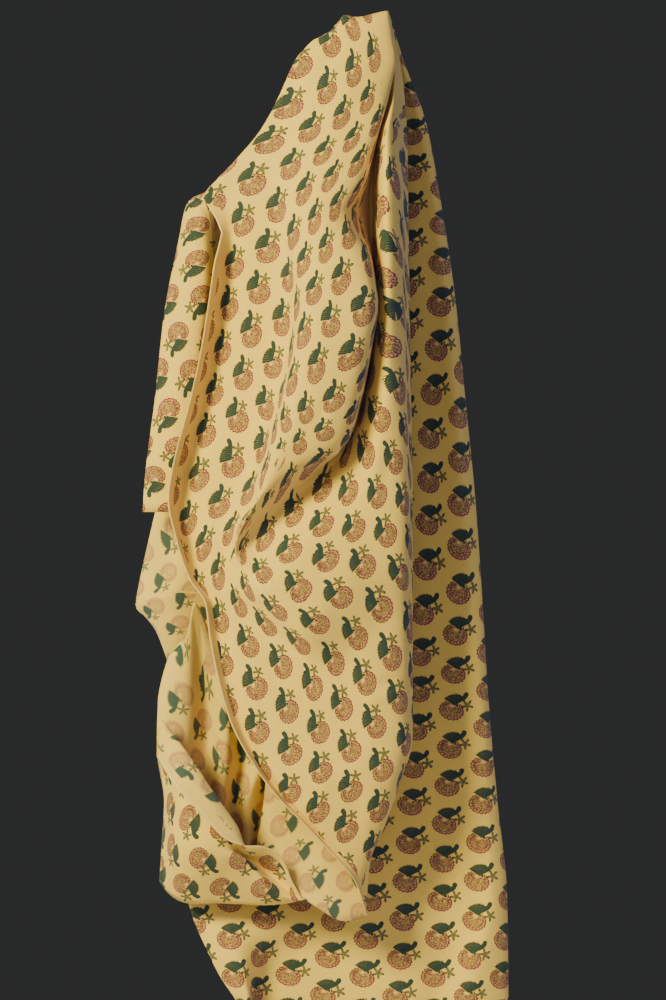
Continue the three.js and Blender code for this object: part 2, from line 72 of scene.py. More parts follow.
# Front panel, from its selvedge round to the fold at its right: each station is [down, across, out]
FRONT = {
    "selvedge": [[14, 343, 8], [24, 336, 7], [35, 315, 6], [48, 304.5, 6], [60, 295.5, 6],
                 [80, 286.5, 7],
                 [100, 277.5, 8], [130, 261, 10], [160, 236, 12], [185, 212.5, 12], [197, 203, 14],
                 [215, 214, 22], [237, 222, 30], [250, 217, 36],
                 [300, 209, 40], [350, 201, 40], [400, 190, 40], [470, 172, 40], [500, 168, 40],
                 [535, 175, 42], [580, 190, 44], [603, 205, 46], [640, 210, 48], [720, 230, 52],
                 [770, 257, 54], [800, 280, 52], [820, 300, 50], [845, 324, 46], [868, 345, 42],
                 [885, 357, 36], [914, 366, 30]],
    "trough": [[14, 348, 9], [35, 326, 10], [60, 306, 12], [100, 287, 14], [130, 270, 16],
               [160, 251, 18],
               [185, 235, 18],
               [200, 230, 20], [237, 232, 20], [270, 229, 16], [300, 226, 14], [350, 218, 14],
               [400, 208, 14], [470, 190, 14], [500, 184, 16], [535, 187, 20], [580, 199, 30],
               [600, 211, 36]],
    "cheek": [[14, 352, 10], [35, 334, 14], [60, 316, 18], [130, 281, 24], [200, 246, 26],
              [237, 245, 28], [300, 238, 26],
              [400, 222, 26], [470, 204, 28], [535, 203, 34], [600, 219, 42]],
    "foot": [[14, 358, 11], [62, 330, 22], [130, 291, 29], [200, 275, 34], [237, 280, 38],
             [300, 286, 44],
             [350, 284, 46], [400, 273, 46], [470, 251, 44], [535, 227, 42], [600, 233, 46]],
    "step": [[14, 364, 11], [62, 341, 26], [130, 305, 36], [200, 291, 50], [237, 296, 64],
             [300, 306, 88],
             [350, 300, 94], [400, 289, 96], [430, 282, 95], [470, 268, 88], [500, 258, 76],
             [535, 237, 60], [570, 240, 52], [600, 253, 50]],
    "crown": [[14, 374, 11], [62, 366, 28], [130, 340, 44], [177, 325, 60], [214, 320, 72],
              [260, 336, 86],
              [300, 342, 95], [350, 338, 100], [400, 325, 100], [430, 310, 98], [460, 290, 93],
              [490, 265, 82], [520, 245, 69], [550, 235, 58], [580, 248, 54], [600, 265, 52]],
    "lip": [[14, 387, 8], [40, 391, 14], [60, 395, 18], [80, 390, 22], [100, 385, 28], [130, 375.5, 40],
            [155, 368, 46], [180, 359, 56], [197, 348.5, 62], [210, 342.5, 64], [227, 347.5, 70],
            [248, 361.5, 76], [286, 371, 84], [302, 373.5, 88], [323, 371, 90], [357, 364, 90],
            [382, 359.5, 89], [403, 354, 88], [430, 348, 86], [445, 341, 84], [456, 327, 84],
            [466, 304, 82], [488, 276, 76], [515, 254, 67], [550, 237, 56], [580, 256, 54],
            [600, 276, 53]],
    "gully": [[14, 387.4, 4], [60, 394.5, 6], [100, 388, 0], [130, 378.5, -4], [150, 374.5, -8],
              [200, 371, -10],
              [250, 372, -8], [290, 375, -4], [350, 371, 2], [400, 362, 10], [430, 353, 19],
              [460, 336, 30], [490, 301, 38], [520, 265, 44], [550, 245, 49], [580, 272, 52],
              [600, 291, 53]],
    "bank": [[14, 387.6, 2], [60, 395, 3], [100, 391, 7], [130, 382, 18], [150, 379.5, 26],
             [200, 379, 38],
             [290, 380, 49], [350, 377, 53], [400, 370, 54], [430, 363, 53], [460, 350.5, 51],
             [490, 330, 51], [520, 303, 51], [550, 290, 52], [600, 312, 54]],
    "pleat": [[14, 387.8, 0.5], [60, 395.6, 2], [100, 393, 18], [130, 387.5, 38], [150, 387, 48],
              [200, 387, 59], [290, 388.5, 70], [350, 388, 72], [400, 386, 71], [450, 381, 68],
              [500, 374, 63], [550, 358, 60], [600, 352, 58]],
    "shoulder": [[14, 387.9, -1], [60, 396, -2], [100, 397, 8], [150, 397.5, 32], [200, 398.5, 46],
                 [300, 401, 56], [400, 403, 58], [500, 404.5, 54], [600, 401, 48]],
    "nick": [[14, 388, -2.5], [60, 397, -7], [100, 400.5, -6], [150, 403, 4], [200, 404, 12],
             [300, 405.5, 20], [400, 407.5, 24], [500, 410.2, 27], [600, 410.5, 30]],
    "fold": [[14, 388.2, -4], [60, 399, -12], [100, 404.5, -18], [150, 407, -20], [200, 407.5, -20],
             [300, 408.5, -16], [400, 410, -8], [450, 411, 0], [500, 411.7, 6], [600, 411.8, 12],
             [720, 412, 15], [740, 411.5, 16], [780, 400.5, 18], [820, 386.5, 20], [845, 375.8, 22],
             [868, 366.5, 23], [885, 361.2, 24], [914, 367.5, 22]],
}

# Front panel below its creases: share of the way from selvedge to fold, belly in mm, cells to the next line
LOWER = {
    "selvedge": [0.0, 0, 2],
    "trough": [0.045, -8, 2],
    "cheek": [0.105, 1, 2],
    "foot": [0.21, 8, 2],
    "step": [0.33, 14, 2],
    "crown": [0.43, 19, 2],
    "lip": [0.50, 22, 3],
    "gully": [0.565, 25, 2],
    "bank": [0.655, 29, 2],
    "pleat": [0.79, 34, 2],
    "shoulder": [0.945, 30, 2],
    "nick": [0.99, 16, 2],
    "fold": [1.0, 0, 2],
}

# Inner wall, from the fold back to the left: each station is [level, across, down, out]
WALL = {
    "heel": [[0, 386, 14, -8], [1, 394, 60, -19], [2, 399, 130, -28], [3, 400, 197, -30],
             [4, 400, 300, -26],
             [5, 401, 400, -18], [6, 402, 500, -6], [8, 404, 600, 0], [11, 404, 720, 4],
             [12, 400, 762, 6], [13, 386, 806, 9], [14, 369, 862, 14], [15, 366, 916, 21]],
    "keel": [[7, 350, 590, -14], [9, 352, 665, -12], [10, 354, 700, -10], [11, 352, 735, -8],
             [12, 340, 775, -4], [13, 322, 820, 2], [13.6, 313, 845, 12], [14.3, 322, 872, 22],
             [15, 342, 921, 26]],
    "kerb": [[7, 300, 600, -20], [9, 300, 675, -24], [10, 296, 710, -22], [11, 286, 735, -14],
             [12, 270, 765, -6], [13, 265, 805, -2], [14, 258, 848, 2], [15, 303, 900, 20]],
    "dark": [[7, 285, 605, -26], [9, 284, 680, -30], [10, 282, 715, -32], [11, 276, 740, -36],
             [12, 272, 770, -40], [13, 268, 808, -40], [14, 262, 852, -34], [15, 288, 903, 8]],
    "comb": [[7, 262, 605, -26], [9, 263, 685, -28], [11, 264, 740, -22], [12, 258, 770, -18],
             [13, 246, 808, -16], [14, 250, 855, -14], [15, 265, 905, 4]],
    "dell": [[7, 238, 602, -26], [8, 238, 646, -30], [9, 240, 676, -36], [11, 243, 740, -34],
             [12, 240, 772, -34], [13, 234, 808, -34], [14, 233, 858, -26], [15, 240, 904, 2]],
    "rise": [[7, 214, 597, -22], [8, 215, 645, -28], [8.7, 218, 676, -42], [9.3, 219, 676, -32],
             [10, 220, 662, -24],
             [11, 226, 720, -12], [12, 225, 760, -10], [13, 220, 802, -12], [14, 215, 856, -12],
             [15, 215, 903, 0]],
    "glen": [[7, 192, 592, -14], [8, 196, 645, -26], [8.7, 202, 686, -46], [9.3, 203, 684, -30],
             [10, 195, 603, 4],
             [11, 205, 710, -30], [12, 205, 752, -32], [13, 203, 800, -30], [14, 198, 856, -24],
             [15, 197, 904, -2]],
    "spur": [[7, 170, 592, -8], [8, 176, 641, -22], [8.7, 187, 690, -46], [9.3, 188, 688, -28],
             [10, 187, 635, -1],
             [11, 188, 705, -8], [12, 185, 752, -10], [13, 184, 800, -14], [14, 182, 852, -14],
             [15, 179, 900.5, -4]],
    "flank": [[7, 150, 598, -14], [8, 160, 634, -26], [8.7, 176, 682, -46], [9.3, 177, 680, -30],
              [10, 177, 646, -6],
              [11, 168, 704, -8], [12, 166, 752, -8], [14, 169, 848, -10], [15, 167.5, 892, -7]],
    "left": [[0, 350, 14, -11], [1, 321, 60, -24], [2, 280, 130, -33], [3, 214, 200, -38],
             [3.4, 201, 236, -42], [4, 194, 300, -44], [5, 178, 400, -44], [6, 158, 500, -42],
             [7, 136, 605, -34], [7.5, 147, 618, -36], [8, 158, 633, -38], [8.7, 171, 668, -46],
             [9.3, 172, 668, -32], [10, 170, 655, -14], [11, 158, 702, -14],
             [12, 157, 750, -14], [13, 164, 800, -12], [14, 162, 842, -10], [15, 159.5, 881, -8]],
}

# Turned-up front of the pocket, row by row from the bottom fold: each station is [across, down, out]
POCKET = {
    "crest": [[303, 900, 20], [290, 898, 22], [270, 887, 26], [253, 869, 32], [237, 855, 42],
              [222, 852, 46], [200, 848, 46], [178, 845, 34], [163, 820, -11]],
    "hollow": [[303, 900, 20], [290.5, 891, 16], [274, 877, 12], [257, 865, 12], [241, 855, 24],
               [230, 842, 42], [208, 818, 48], [184, 792, 38], [162, 770, -13]],
    "ridge": [[303, 900, 20], [293, 884, 26], [282, 861, 36], [266, 850, 42], [247, 848, 46],
              [237, 826, 50], [216, 796, 56], [190, 757, 50], [163, 720, 14]],
    "turn": [[303, 900, 20], [292.5, 882.5, 28], [281.5, 858.5, 38], [265, 847.5, 45], [245, 846, 49],
             [233, 831, 57], [209, 802, 64], [183, 768, 58], [158, 735, 24]],
    "hem": [[303, 900, 20], [292, 881, 29], [281, 857, 39], [264, 846.5, 46], [244, 845.5, 50],
            [225, 839, 56], [200, 812, 63], [176, 787, 60], [157, 757, 30]],
}

# Soft fold across the lower front, raised at its upper right: from and to are [across, down],
# then rows from the fold's foot to its height, rows over which it fades, and millimetres of lift
SWELL = {
    "from": [225, 572],
    "to": [338, 680],
    "rise": 26,
    "fade": 110,
    "lift": 26,
}

# Rise and fall of the gathered top edge: each station is [across, millimetres up]
BRIM = [[330, -8], [338, -4], [346, -1.4], [357, -3.2], [373, 0.2], [388, 3.2], [396, 3.2]]

# Hanging flap at the left: each station is [down, across, out]
FLAP = {
    "slit": [[197, 204, 14], [225, 212, 6], [270, 214, 4], [350, 208, 2], [430, 200, 2], [514, 192, 2]],
    "crease": [[14, 344.5, 4], [35, 318, 2], [60, 299, 0], [130, 264.5, 2], [185, 218, 0],
               [200, 198.5, 8], [225, 203, 14],
               [270, 204, 16], [350, 197, 12], [430, 192, 10], [512, 186, 6]],
    "panel": [[14, 349, 0], [35, 324, -3], [60, 305, -5], [130, 273, -6], [185, 222, -8],
              [200, 194, 2], [225, 192, 12],
              [270, 188, 14], [350, 178, 12], [430, 170, 12], [512, 162, 8]],
    "side": [[14, 354, -1], [35, 332, -5], [60, 313, -8], [130, 283, -13], [185, 224, -18],
             [200, 190, -8],
             [210, 185, -6], [235, 180, -4], [310, 165, -2], [400, 155, 0], [480, 145, 2],
             [508, 143, 2]],
    "tuck": [[14, 360, -1.5], [35, 340, -6], [60, 322, -9], [130, 294, -16], [185, 232, -24],
             [200, 199, -20],
             [225, 194, -20], [310, 178, -20], [400, 168, -18], [480, 158, -16], [510, 156, -16]],
}

# Back panel, from its free edge at the left to the turned-back right: each station is [down, across, out]
BACK = {
    "free": [[605, 136, -34], [633, 158, -38], [690, 176, -56], [750, 186, -52], [800, 188, -52],
             [865, 186, -44], [900, 188, -36], [915, 192, -32], [950, 207, -28], [978, 221, -26],
             [1000, 236, -26], [1085, 270, -30]],
    "lobe": [[14, 353, -16], [60, 340, -34], [130, 308, -46], [200, 258, -54], [400, 212, -64],
             [600, 175, -62], [700, 205, -60], [800, 213, -58], [865, 216, -48], [915, 226, -30],
             [950, 238, -16], [1000, 249, -14], [1085, 282, -18]],
    "gap": [[14, 358, -17.5], [60, 355, -37], [130, 335, -49], [200, 295, -60], [400, 250, -68],
            [600, 225, -68], [800, 255, -64], [880, 305, -58], [917, 320, -48], [936, 292, -44],
            [960, 270, -44], [979, 257, -44], [1000, 254, -44], [1085, 286, -46]],
    "mid": [[14, 366, -18], [60, 370, -38], [130, 364, -49], [200, 344, -60], [400, 304, -68],
            [600, 290, -68], [800, 312, -66], [917, 345, -52], [960, 318, -50], [1000, 302, -48],
            [1085, 322, -50]],
    "shade": [[14, 375, -18], [60, 385, -36], [130, 396, -47], [200, 400, -54], [300, 400, -62],
              [400, 398, -66], [500, 395, -68], [800, 385, -66], [915, 382, -54], [1000, 352, -48],
              [1085, 364, -50]],
    "broad": [[14, 382, -17.5], [60, 396, -32], [130, 413, -42], [200, 422, -47], [300, 430, -55],
              [400, 433, -59], [500, 435, -61], [800, 437, -59], [915, 428, -51], [1000, 408, -45],
              [1085, 414, -47]],
    "brim": [[14, 386, -17.5], [60, 401, -30], [130, 421, -39], [200, 434, -44], [300, 446, -50],
             [400, 455, -52], [500, 463, -54], [600, 469, -55], [800, 480, -52], [900, 474, -48],
             [1000, 440, -50], [1085, 440, -52]],
    "rib": [[14, 387.5, -18], [60, 402.5, -31], [130, 425, -41], [200, 438, -47], [300, 452, -53],
            [400, 461, -56], [500, 470, -58], [600, 477, -59], [800, 489, -54], [900, 492, -44],
            [1000, 472, -36], [1085, 474, -38]],
    "edge": [[14, 388, -20], [60, 403, -34], [120, 425, -44], [200, 440, -54], [300, 455, -60],
             [400, 465, -64], [500, 475, -66], [600, 482, -67], [700, 488, -67], [800, 497, -66],
             [900, 507, -60], [1000, 508, -56], [1085, 508, -56]],
    "under": [[14, 384, -24], [60, 396, -44], [120, 412, -56], [200, 424, -66], [400, 445, -78],
              [600, 460, -82], [800, 475, -82], [900, 484, -76], [1000, 484, -72], [1085, 484, -72]],
}

# Where sprigs of the print show in the photograph: [across, down, column, row] of the block's repeat.
# Neighbouring columns stand half a row apart.
PRINTED = {
    "front": [[325, 82, 0, 1], [288, 160, 0, 3], [261, 245, 0, 5], [247, 330, 0, 7], [233, 413, 0, 9],
              [218, 498, 0, 11], [200, 585, 0, 13], [240, 215, -1, 4.5], [218, 345, -1, 7.5],
              [186, 515, -1, 11.5], [340, 108, 1, 1.5], [290, 227, 1, 4.5], [269, 358, 1, 7.5],
              [246, 487, 1, 10.5], [348, 135, 2, 2], [300, 255, 2, 5], [288, 347, 2, 7],
              [263, 470, 2, 10], [340, 197, 3, 3.5], [303, 327, 3, 6.5], [345, 275, 4, 5],
              [316, 362, 4, 7], [365, 312, 5, 5.5], [337, 395, 5, 7.5], [289, 511, 5, 10.5],
              [319, 488, 6, 10], [221, 616, 1, 13.5], [254, 571, 4, 12], [287, 547, 5, 11.5],
              [323, 520, 6, 11], [349, 490, 7, 10.5], [362, 454, 8, 10], [377, 415, 9, 9.5],
              [369, 103, 2, 1], [358, 161, 3, 2.5], [332, 167, 2, 3], [353, 197, 4, 3], [351, 237, 4, 4],
              [385, 340, 10, 8], [397, 305, 11, 7.5], [384, 270, 11, 6.5], [395, 240, 12, 6],
              [387, 202, 12, 5], [393, 168, 13, 4.5], [383, 130, 13, 3.5], [397, 385, 10, 9],
              [221, 656, 1, 14.5], [247, 642, 2, 14], [259, 623, 3, 13.5],
              [275, 608, 4, 13], [293, 588, 5, 12.5], [325, 550, 6, 12], [351, 522, 7, 11.5],
              [375, 490, 8, 11], [394, 458, 9, 10.5], [250, 682, 2, 15], [279, 660, 3, 14.5],
              [297, 640, 4, 14], [316, 618, 5, 13.5], [336, 592, 6, 13], [364, 560, 7, 12.5],
              [386, 528, 8, 12], [252, 725, 2, 16], [284, 706, 3, 15.5], [310, 682, 4, 15],
              [335, 657, 5, 14.5], [355, 632, 6, 14], [382, 602, 7, 13.5], [286, 748, 3, 16.5],
              [314, 724, 4, 16], [338, 702, 5, 15.5], [362, 678, 6, 15], [390, 652, 7, 14.5],
              [288, 788, 3, 17.5], [321, 767, 4, 17], [348, 744, 5, 16.5], [374, 720, 6, 16],
              [400, 692, 7, 15.5], [318, 810, 4, 18], [352, 786, 5, 17.5], [384, 762, 6, 17],
              [348, 828, 5, 18.5], [382, 806, 6, 18]],
    "lining": [[286, 824, 0, 0], [313, 880, -2, 1], [325, 907, -3, 1.5]],
    "wall": [[219, 757, 0, 0], [224, 714, 0, 1], [201, 725, -1, 0.5], [213, 692, -1, 1.5],
             [197, 763, -1, -0.5], [184, 698, -2, 1], [194, 660, -2, 2], [240, 790, 1, -0.5],
             [155, 611, -3, 6.5], [165, 575, -3, 7.5], [181, 598, -2, 7], [175, 628, -2, 6]],
    "back": [[440, 300, 0, 0], [437, 388, 2, 1], [433, 476, 4, 2], [428, 565, 6, 3], [426, 606, 7, 3.5],
             [462, 412, 3, 0.5], [462, 499, 5, 1.5], [458, 583, 7, 2.5]],
    "flap": [[188, 295, 0, 6], [171, 338, 0, 5], [159, 376, 0, 4], [180, 372, -1, 4.5],
             [163, 414, -1, 3.5],
             [169, 448, -2, 3], [151, 486, -2, 2], [188, 265, 1, 6.5], [170, 302, 1, 5.5],
             [195, 233, 2, 7]],
    "pocket": [[203, 862, 0, 0], [188, 820, 0, 1], [172, 855, 1, 0.5], [180, 886, 1, -0.5],
               [243, 865, -1, -0.5], [228, 890, 0, -1], [268, 893, -1, -1.5]],
}

# Small creases on the front panel:
# [from across, from down, to across, to down, half width in rows, millimetres high]
CREASES = [
    [304, 76, 262, 166, 9, -2.4], [350, 72, 326, 152, 12, 1.8], [262, 262, 250, 420, 9, 1.4],
    [329, 394, 318, 424, 5, -1.6], [337, 396, 327, 426, 5, 1.4], [354, 411, 320, 425, 6, 1.5],
    [276, 440, 240, 540, 5, -1.4], [241, 547, 264, 577, 5, 1.5], [405, 348, 384, 380, 6, -2.0],
    [403, 372, 384, 402, 6, 1.4], [380, 428, 368, 494, 7, 1.8], [391, 440, 382, 502, 7, -1.4],
    [303, 508, 323, 538, 7, 1.8], [252, 546, 384, 541, 5, 0.9], [238, 601, 282, 607, 5, -0.9],
    [366, 691, 400, 679, 7, -2.0], [362, 702, 402, 692, 7, 1.5], [396, 636, 409, 722, 7, -1.5],
    [260, 640, 292, 722, 10, -1.5], [330, 758, 298, 842, 12, 1.6], [382, 738, 350, 832, 10, -1.8],
    [300, 704, 348, 690, 9, 1.2],
]

WALL_CELLS = (3, 3, 2, 2, 2, 2, 2, 2, 2, 2)
POCKET_CELLS = (3, 3, 2, 2, 2)
FLAP_CELLS = (2, 2, 2, 2)
BACK_CELLS = (3, 3, 3, 3, 2, 2, 2, 2, 2)
SKIPPED = 2  # wall lines right of the pocket's first one


def ease(t):
    """Smooth step from 0 to 1: 3 t squared less 2 t cubed, held outside."""
    t = np.clip(t, 0.0, 1.0)
    return t * t * (3.0 - 2.0 * t)


def curve(keys, values, at):
    """Cubic through the stations of a table, with leans that never let it swing past them."""
    keys = np.asarray(keys, float)
    values = np.asarray(values, float)
    at = np.asarray(at, float)
    gap = np.diff(keys)
    rise = np.diff(values) / gap
    lean = np.zeros(len(keys))
    lean[0] = rise[0]
    lean[-1] = rise[-1]
    same = rise[:-1] * rise[1:] > 0
    before = 2 * gap[1:] + gap[:-1]
    after = gap[1:] + 2 * gap[:-1]
    safe_left = np.where(same, rise[:-1], 1.0)
    safe_right = np.where(same, rise[1:], 1.0)
    lean[1:-1] = np.where(same, (before + after) / (before / safe_left + after / safe_right), 0.0)
    k = np.clip(np.searchsorted(keys, at, side="right") - 1, 0, len(keys) - 2)
    t = np.clip((at - keys[k]) / gap[k], 0.0, 1.0)
    s = 1.0 - t
    ends = values[k] * s * s * (1 + 2 * t) + values[k + 1] * t * t * (1 + 2 * s)
    return ends + gap[k] * t * s * (lean[k] * s - lean[k + 1] * t)


def place(across, down, out):
    """Point in space of a column, a row and a distance out: both shrink as the point comes nearer."""
    out = np.asarray(out, float) / 1000.0
    near = PIXEL * (FAR - out) / FAR
    x = (across - CENTRE[0]) * near - (TOP[0] - CENTRE[0]) * PIXEL
    z = (CENTRE[1] - down) * near - (CENTRE[1] - TOP[1]) * PIXEL
    return np.stack(np.broadcast_arrays(x, -out, z), axis=-1)


def picture(points):
    """Column and row of the photograph at which points in space show; the reverse of place."""
    near = PIXEL * (FAR + points[..., 1]) / FAR
    across = (points[..., 0] + (TOP[0] - CENTRE[0]) * PIXEL) / near + CENTRE[0]
    down = CENTRE[1] - (points[..., 2] + (CENTRE[1] - TOP[1]) * PIXEL) / near
    return np.stack([across, down], axis=-1)


def hang(table, down):
    """A line of stations [down, across, out] at an array of heights."""
    keys, across, out = np.array(table, float).T
    return place(curve(keys, across, down), down, curve(keys, out, down))


def run(table, level):
    """A line of stations [level, across, down, out] at an array of levels."""
    keys, across, down, out = np.array(table, float).T
    level = np.maximum(level, keys[0])
    return place(curve(keys, across, level), curve(keys, down, level), curve(keys, out, level))


def swelled(points):
    """The soft diagonal fold: points move towards the viewer, so they are still seen in the same place.

    With beside the rows to the upper right of the fold's foot, the lift is
    ease(beside / rise + 1/2) times 1 - ease((beside - rise) / fade), and it fades at both ends.
    """
    start = np.array(SWELL["from"], float)
    along = np.array(SWELL["to"], float) - start
    length = np.hypot(*along)
    offset = picture(points) - start
    share = offset @ along / length ** 2
    beside = (offset[..., 0] * along[1] - offset[..., 1] * along[0]) / length
    rise = ease(beside / SWELL["rise"] + 0.5) * (1.0 - ease((beside - SWELL["rise"]) / SWELL["fade"]))
    lift = 0.001 * SWELL["lift"] * rise * ease(share / 0.3) * ease((1.0 - share) / 0.45)
    return lifted(points, lift)


def brimmed(points):
    """The top edge isn't level: points near it move up or down by the brim's table."""
    across, down = np.moveaxis(picture(points), -1, 0)
    keys, up = np.array(BRIM, float).T
    points = points.copy()
    points[..., 2] += 0.001 * curve(keys, up, across) * ease((60.0 - down) / 46.0)
    return points


def creased(points):
    """Small creases listed one by one: each lifts the cloth, or sinks it where its height is negative.

    The lift is height times exp(-(beside / width) squared), and it fades at both ends of the crease.
    """
    seen = picture(points)
    lift = np.zeros(points.shape[:2])
    for row in CREASES:
        start, end = np.array(row[:2], float), np.array(row[2:4], float)
        along = end - start
        length = np.hypot(*along)
        offset = seen - start
        share = offset @ along / length ** 2
        beside = (offset[..., 0] * along[1] - offset[..., 1] * along[0]) / length
        lift += row[5] * np.exp(-((beside / row[4]) ** 2)) * ease(share / 0.3) * ease((1.0 - share) / 0.3)
    return lifted(points, 0.001 * lift)


def lifted(points, lift):
    """Points moved straight towards the viewer by a lift in metres."""
    eye = place(*CENTRE, 1000.0 * FAR)
    return points + (eye - points) * (lift / (FAR + points[..., 1]))[..., None]


def rolled(points):
    """The selvedge curls up a little on the lower front: a raised edge with a shallow trough beside it."""
    away = np.cumsum(np.linalg.norm(np.diff(points, axis=1), axis=2), axis=1)
    away = np.concatenate([np.zeros((points.shape[0], 1)), away], axis=1)
    down = picture(points)[..., 1]
    share = 0.35 + 0.65 * ease((down - 640.0) / 90.0)
    share = share * ease((down - 205.0) / 25.0) * ease((912.0 - down) / 30.0)
    lift = 0.0024 * np.exp(-((away / 0.0035) ** 2)) - 0.0018 * np.exp(-(((away - 0.0085) / 0.0045) ** 2))
    return lifted(points, lift * share)


def height(kind, level):
    return curve(range(len(LEVELS[kind])), LEVELS[kind], level)


def levels(count):
    """Levels of the rows: even steps between level lines, closer across the tuck."""
    parts = []
    for k in range(count):
        steps = FINER * (TUCKED if TUCK[0] <= k < TUCK[1] else STEPS)
        parts.append(k + np.arange(steps) / steps)
    return np.concatenate(parts + [[float(count)]])


def mixed(one, two, share):
    return one + (two - one) * share[..., None]


def rounded(lines, cells, before=None, after=None):
    """Centripetal curve through the lines of every row, a number of cells from each line to the next.

    before and after hold, for each row, the point that the neighbouring stretch goes on with.
    """
    first = 2 * lines[:, 0] - lines[:, 1] if before is None else before
    last = 2 * lines[:, -1] - lines[:, -2] if after is None else after
    row = np.concatenate([first[:, None], lines, last[:, None]], axis=1)
    reach = np.sqrt(np.maximum(np.linalg.norm(np.diff(row, axis=1), axis=2), 1e-6))
    parts = []
    for k in range(lines.shape[1] - 1):
        count = cells[k] * FINER
        last_one = k == lines.shape[1] - 2
        share = (np.arange(count + (1 if last_one else 0)) / count)[None, :]
        t1 = reach[:, k, None]
        t2 = t1 + reach[:, k + 1, None]
        t3 = t2 + reach[:, k + 2, None]
        t = t1 + (t2 - t1) * share
        p0, p1, p2, p3 = (row[:, None, k + i] for i in range(4))
        a1 = mixed(p0, p1, t / t1)
        a2 = mixed(p1, p2, (t - t1) / (t2 - t1))
        a3 = mixed(p2, p3, (t - t2) / (t3 - t2))
        b1 = mixed(a1, a2, t / t2)
        b2 = mixed(a2, a3, (t - t1) / (t3 - t1))
        parts.append(mixed(b1, b2, (t - t1) / (t2 - t1)))
    return np.concatenate(parts, axis=1)


def handed_over(own, other, level, last):
    """The other stretch's points down to a level, then the stretch's own within half a level."""
    weight = 1.0 - ease((level - last) / 0.5)
    return own + (other - own) * weight[:, None]


def front_lines(level):
    """Front panel: its own lines above the belly; within it each line keeps a share of the width."""
    down = height("front", level)
    start = hang(FRONT["selvedge"], down)
    end = hang(FRONT["fold"], down)
    low = ease((down - 560.0) / 80.0)[:, None]
    belly = np.minimum(1.0, np.abs(end[:, 0] - start[:, 0]) / 0.15)
    lines = []
    for name, table in FRONT.items():
        line = hang(table, down)
        share, lift = LOWER[name][:2]
        if 0 < share < 1:
            spread = start + (end - start) * share
            spread[:, 1] -= 0.001 * lift * belly
            line = line + (spread - line) * low
        lines.append(line)
    return np.stack(lines, axis=1)


def wall_lines(level):
    """Inner wall: its lower lines as seen, its hidden upper half an even fan with shallow waves."""
    heel = run(WALL["heel"], level)
    left = run(WALL["left"], level)
    low = ease((level - 5.5) / 1.5)[:, None]
    lines = []
    for k, name in enumerate(WALL):
        fan = heel + (left - heel) * k / (len(WALL) - 1)
        if name in ("heel", "left"):
            lines.append(heel if k == 0 else left)
            continue
        fan[:, 1] += 0.003 * np.sin(2.1 * k) * ease((level - 2.0) / 2.0)
        lines.append(fan + (run(WALL[name], level) - fan) * low)
    return np.stack(lines, axis=1)


def main_grid():
    """Front panel and inner wall, one continuous stretch that turns over at the right-hand fold."""
    level = levels(15)
    front = front_lines(level)
    wall = wall_lines(level)
    lines = np.concatenate([front, wall], axis=1)
    cells = [line[2] for line in LOWER.values()] + list(WALL_CELLS)
    before = 2 * lines[:, 0] - lines[:, 1]
    crease = hang(FLAP["crease"], height("front", level))
    before = handed_over(before, crease, level, SEAM)
    after = 2 * lines[:, -1] - lines[:, -2]
    lobe = hang(BACK["lobe"], height("back", level))
    after = handed_over(after, lobe, level, SHARED)
    grid = rounded(lines, cells, before, after)
    panel = 1 + FINER * sum(cells[: len(FRONT) - 1])
    grid[:, :panel] = rolled(creased(swelled(grid[:, :panel])))
    return grid


def back_grid(main):
    """Back panel; down to the shared level its left edge is the inner wall's own."""
    level = levels(15)
    down = height("back", level)
    lines = np.stack([hang(table, down) for table in BACK.values()], axis=1)
    shared = level <= SHARED
    lines[shared, 0] = main[shared, -1]
    before = 2 * lines[:, 0] - lines[:, 1]
    before = handed_over(before, wall_lines(level)[:, -2], level, SHARED)
    return rounded(lines, BACK_CELLS, before)


def flap_grid(main):
    """Flap; down to the seam its inner edge is the front panel's own."""
    level = levels(8)
    down = height("flap", level)
    lines = np.stack([hang(table, down) for table in FLAP.values()], axis=1)
    shared = level <= SEAM
    lines[shared, 0] = main[: len(level)][shared, 0]
    before = 2 * lines[:, 0] - lines[:, 1]
    before = handed_over(before, hang(FRONT["trough"], down), level, SEAM)
    return rounded(lines, FLAP_CELLS, before)


def pocket_grid(main):
    """Turned-up pocket front, from the wall's bottom fold up to its folded-out rim."""
    cells = WALL_CELLS[SKIPPED:]
    width = FINER * sum(cells)
    names = list(WALL)[SKIPPED:]
    base = [place(*WALL[name][-1][1:]) for name in names]
    rows = [base] + [[place(*station) for station in line] for line in POCKET.values()]
    wide = rounded(np.array(rows), cells)
    grid = rounded(wide.transpose(1, 0, 2), POCKET_CELLS).transpose(1, 0, 2)
    grid[0] = main[-1, -1 - width:]
    side = FINER * 6
    grid[1:side + 1, -1] = main[-2:-2 - side:-1, -1]
    return grid


# How often the flat places are worked over
SOLVES = 260  # of the coarse grid
RELAXES = 160  # of the fine grid
UNTANGLES = 400  # at most, of places that turn over

# How far a cell may change its size in the print before the cloth there is left plain
SQUEEZED = (2.0, 0.6)  # times as large in the print, and the step from print to plain
DRAWN = (0.36, 0.1)  # of its size in the print, and the step from print to plain
BARE = 0.006  # metres from the selvedge at which cloth is plain


def side_lengths(points):
    """Lengths of the sides across and down every cell, and of both diagonals, over the surface.

    The diagonals are the straight ones, drawn out until they fit the parallelogram rule.
    """
    across = np.linalg.norm(points[:, 1:] - points[:, :-1], axis=2)
    down = np.linalg.norm(points[1:] - points[:-1], axis=2)
    return across, down, diagonals(points, across, down)


def diagonals(points, across, down):
    fall = np.linalg.norm(points[1:, 1:] - points[:-1, :-1], axis=2)
    climb = np.linalg.norm(points[:-1, 1:] - points[1:, :-1], axis=2)
    sides = 0.5 * ((across[1:] + across[:-1]) ** 2 + (down[:, 1:] + down[:, :-1]) ** 2)
    drawn = np.sqrt(sides / np.maximum(fall ** 2 + climb ** 2, 1e-12))
    return fall * drawn, climb * drawn


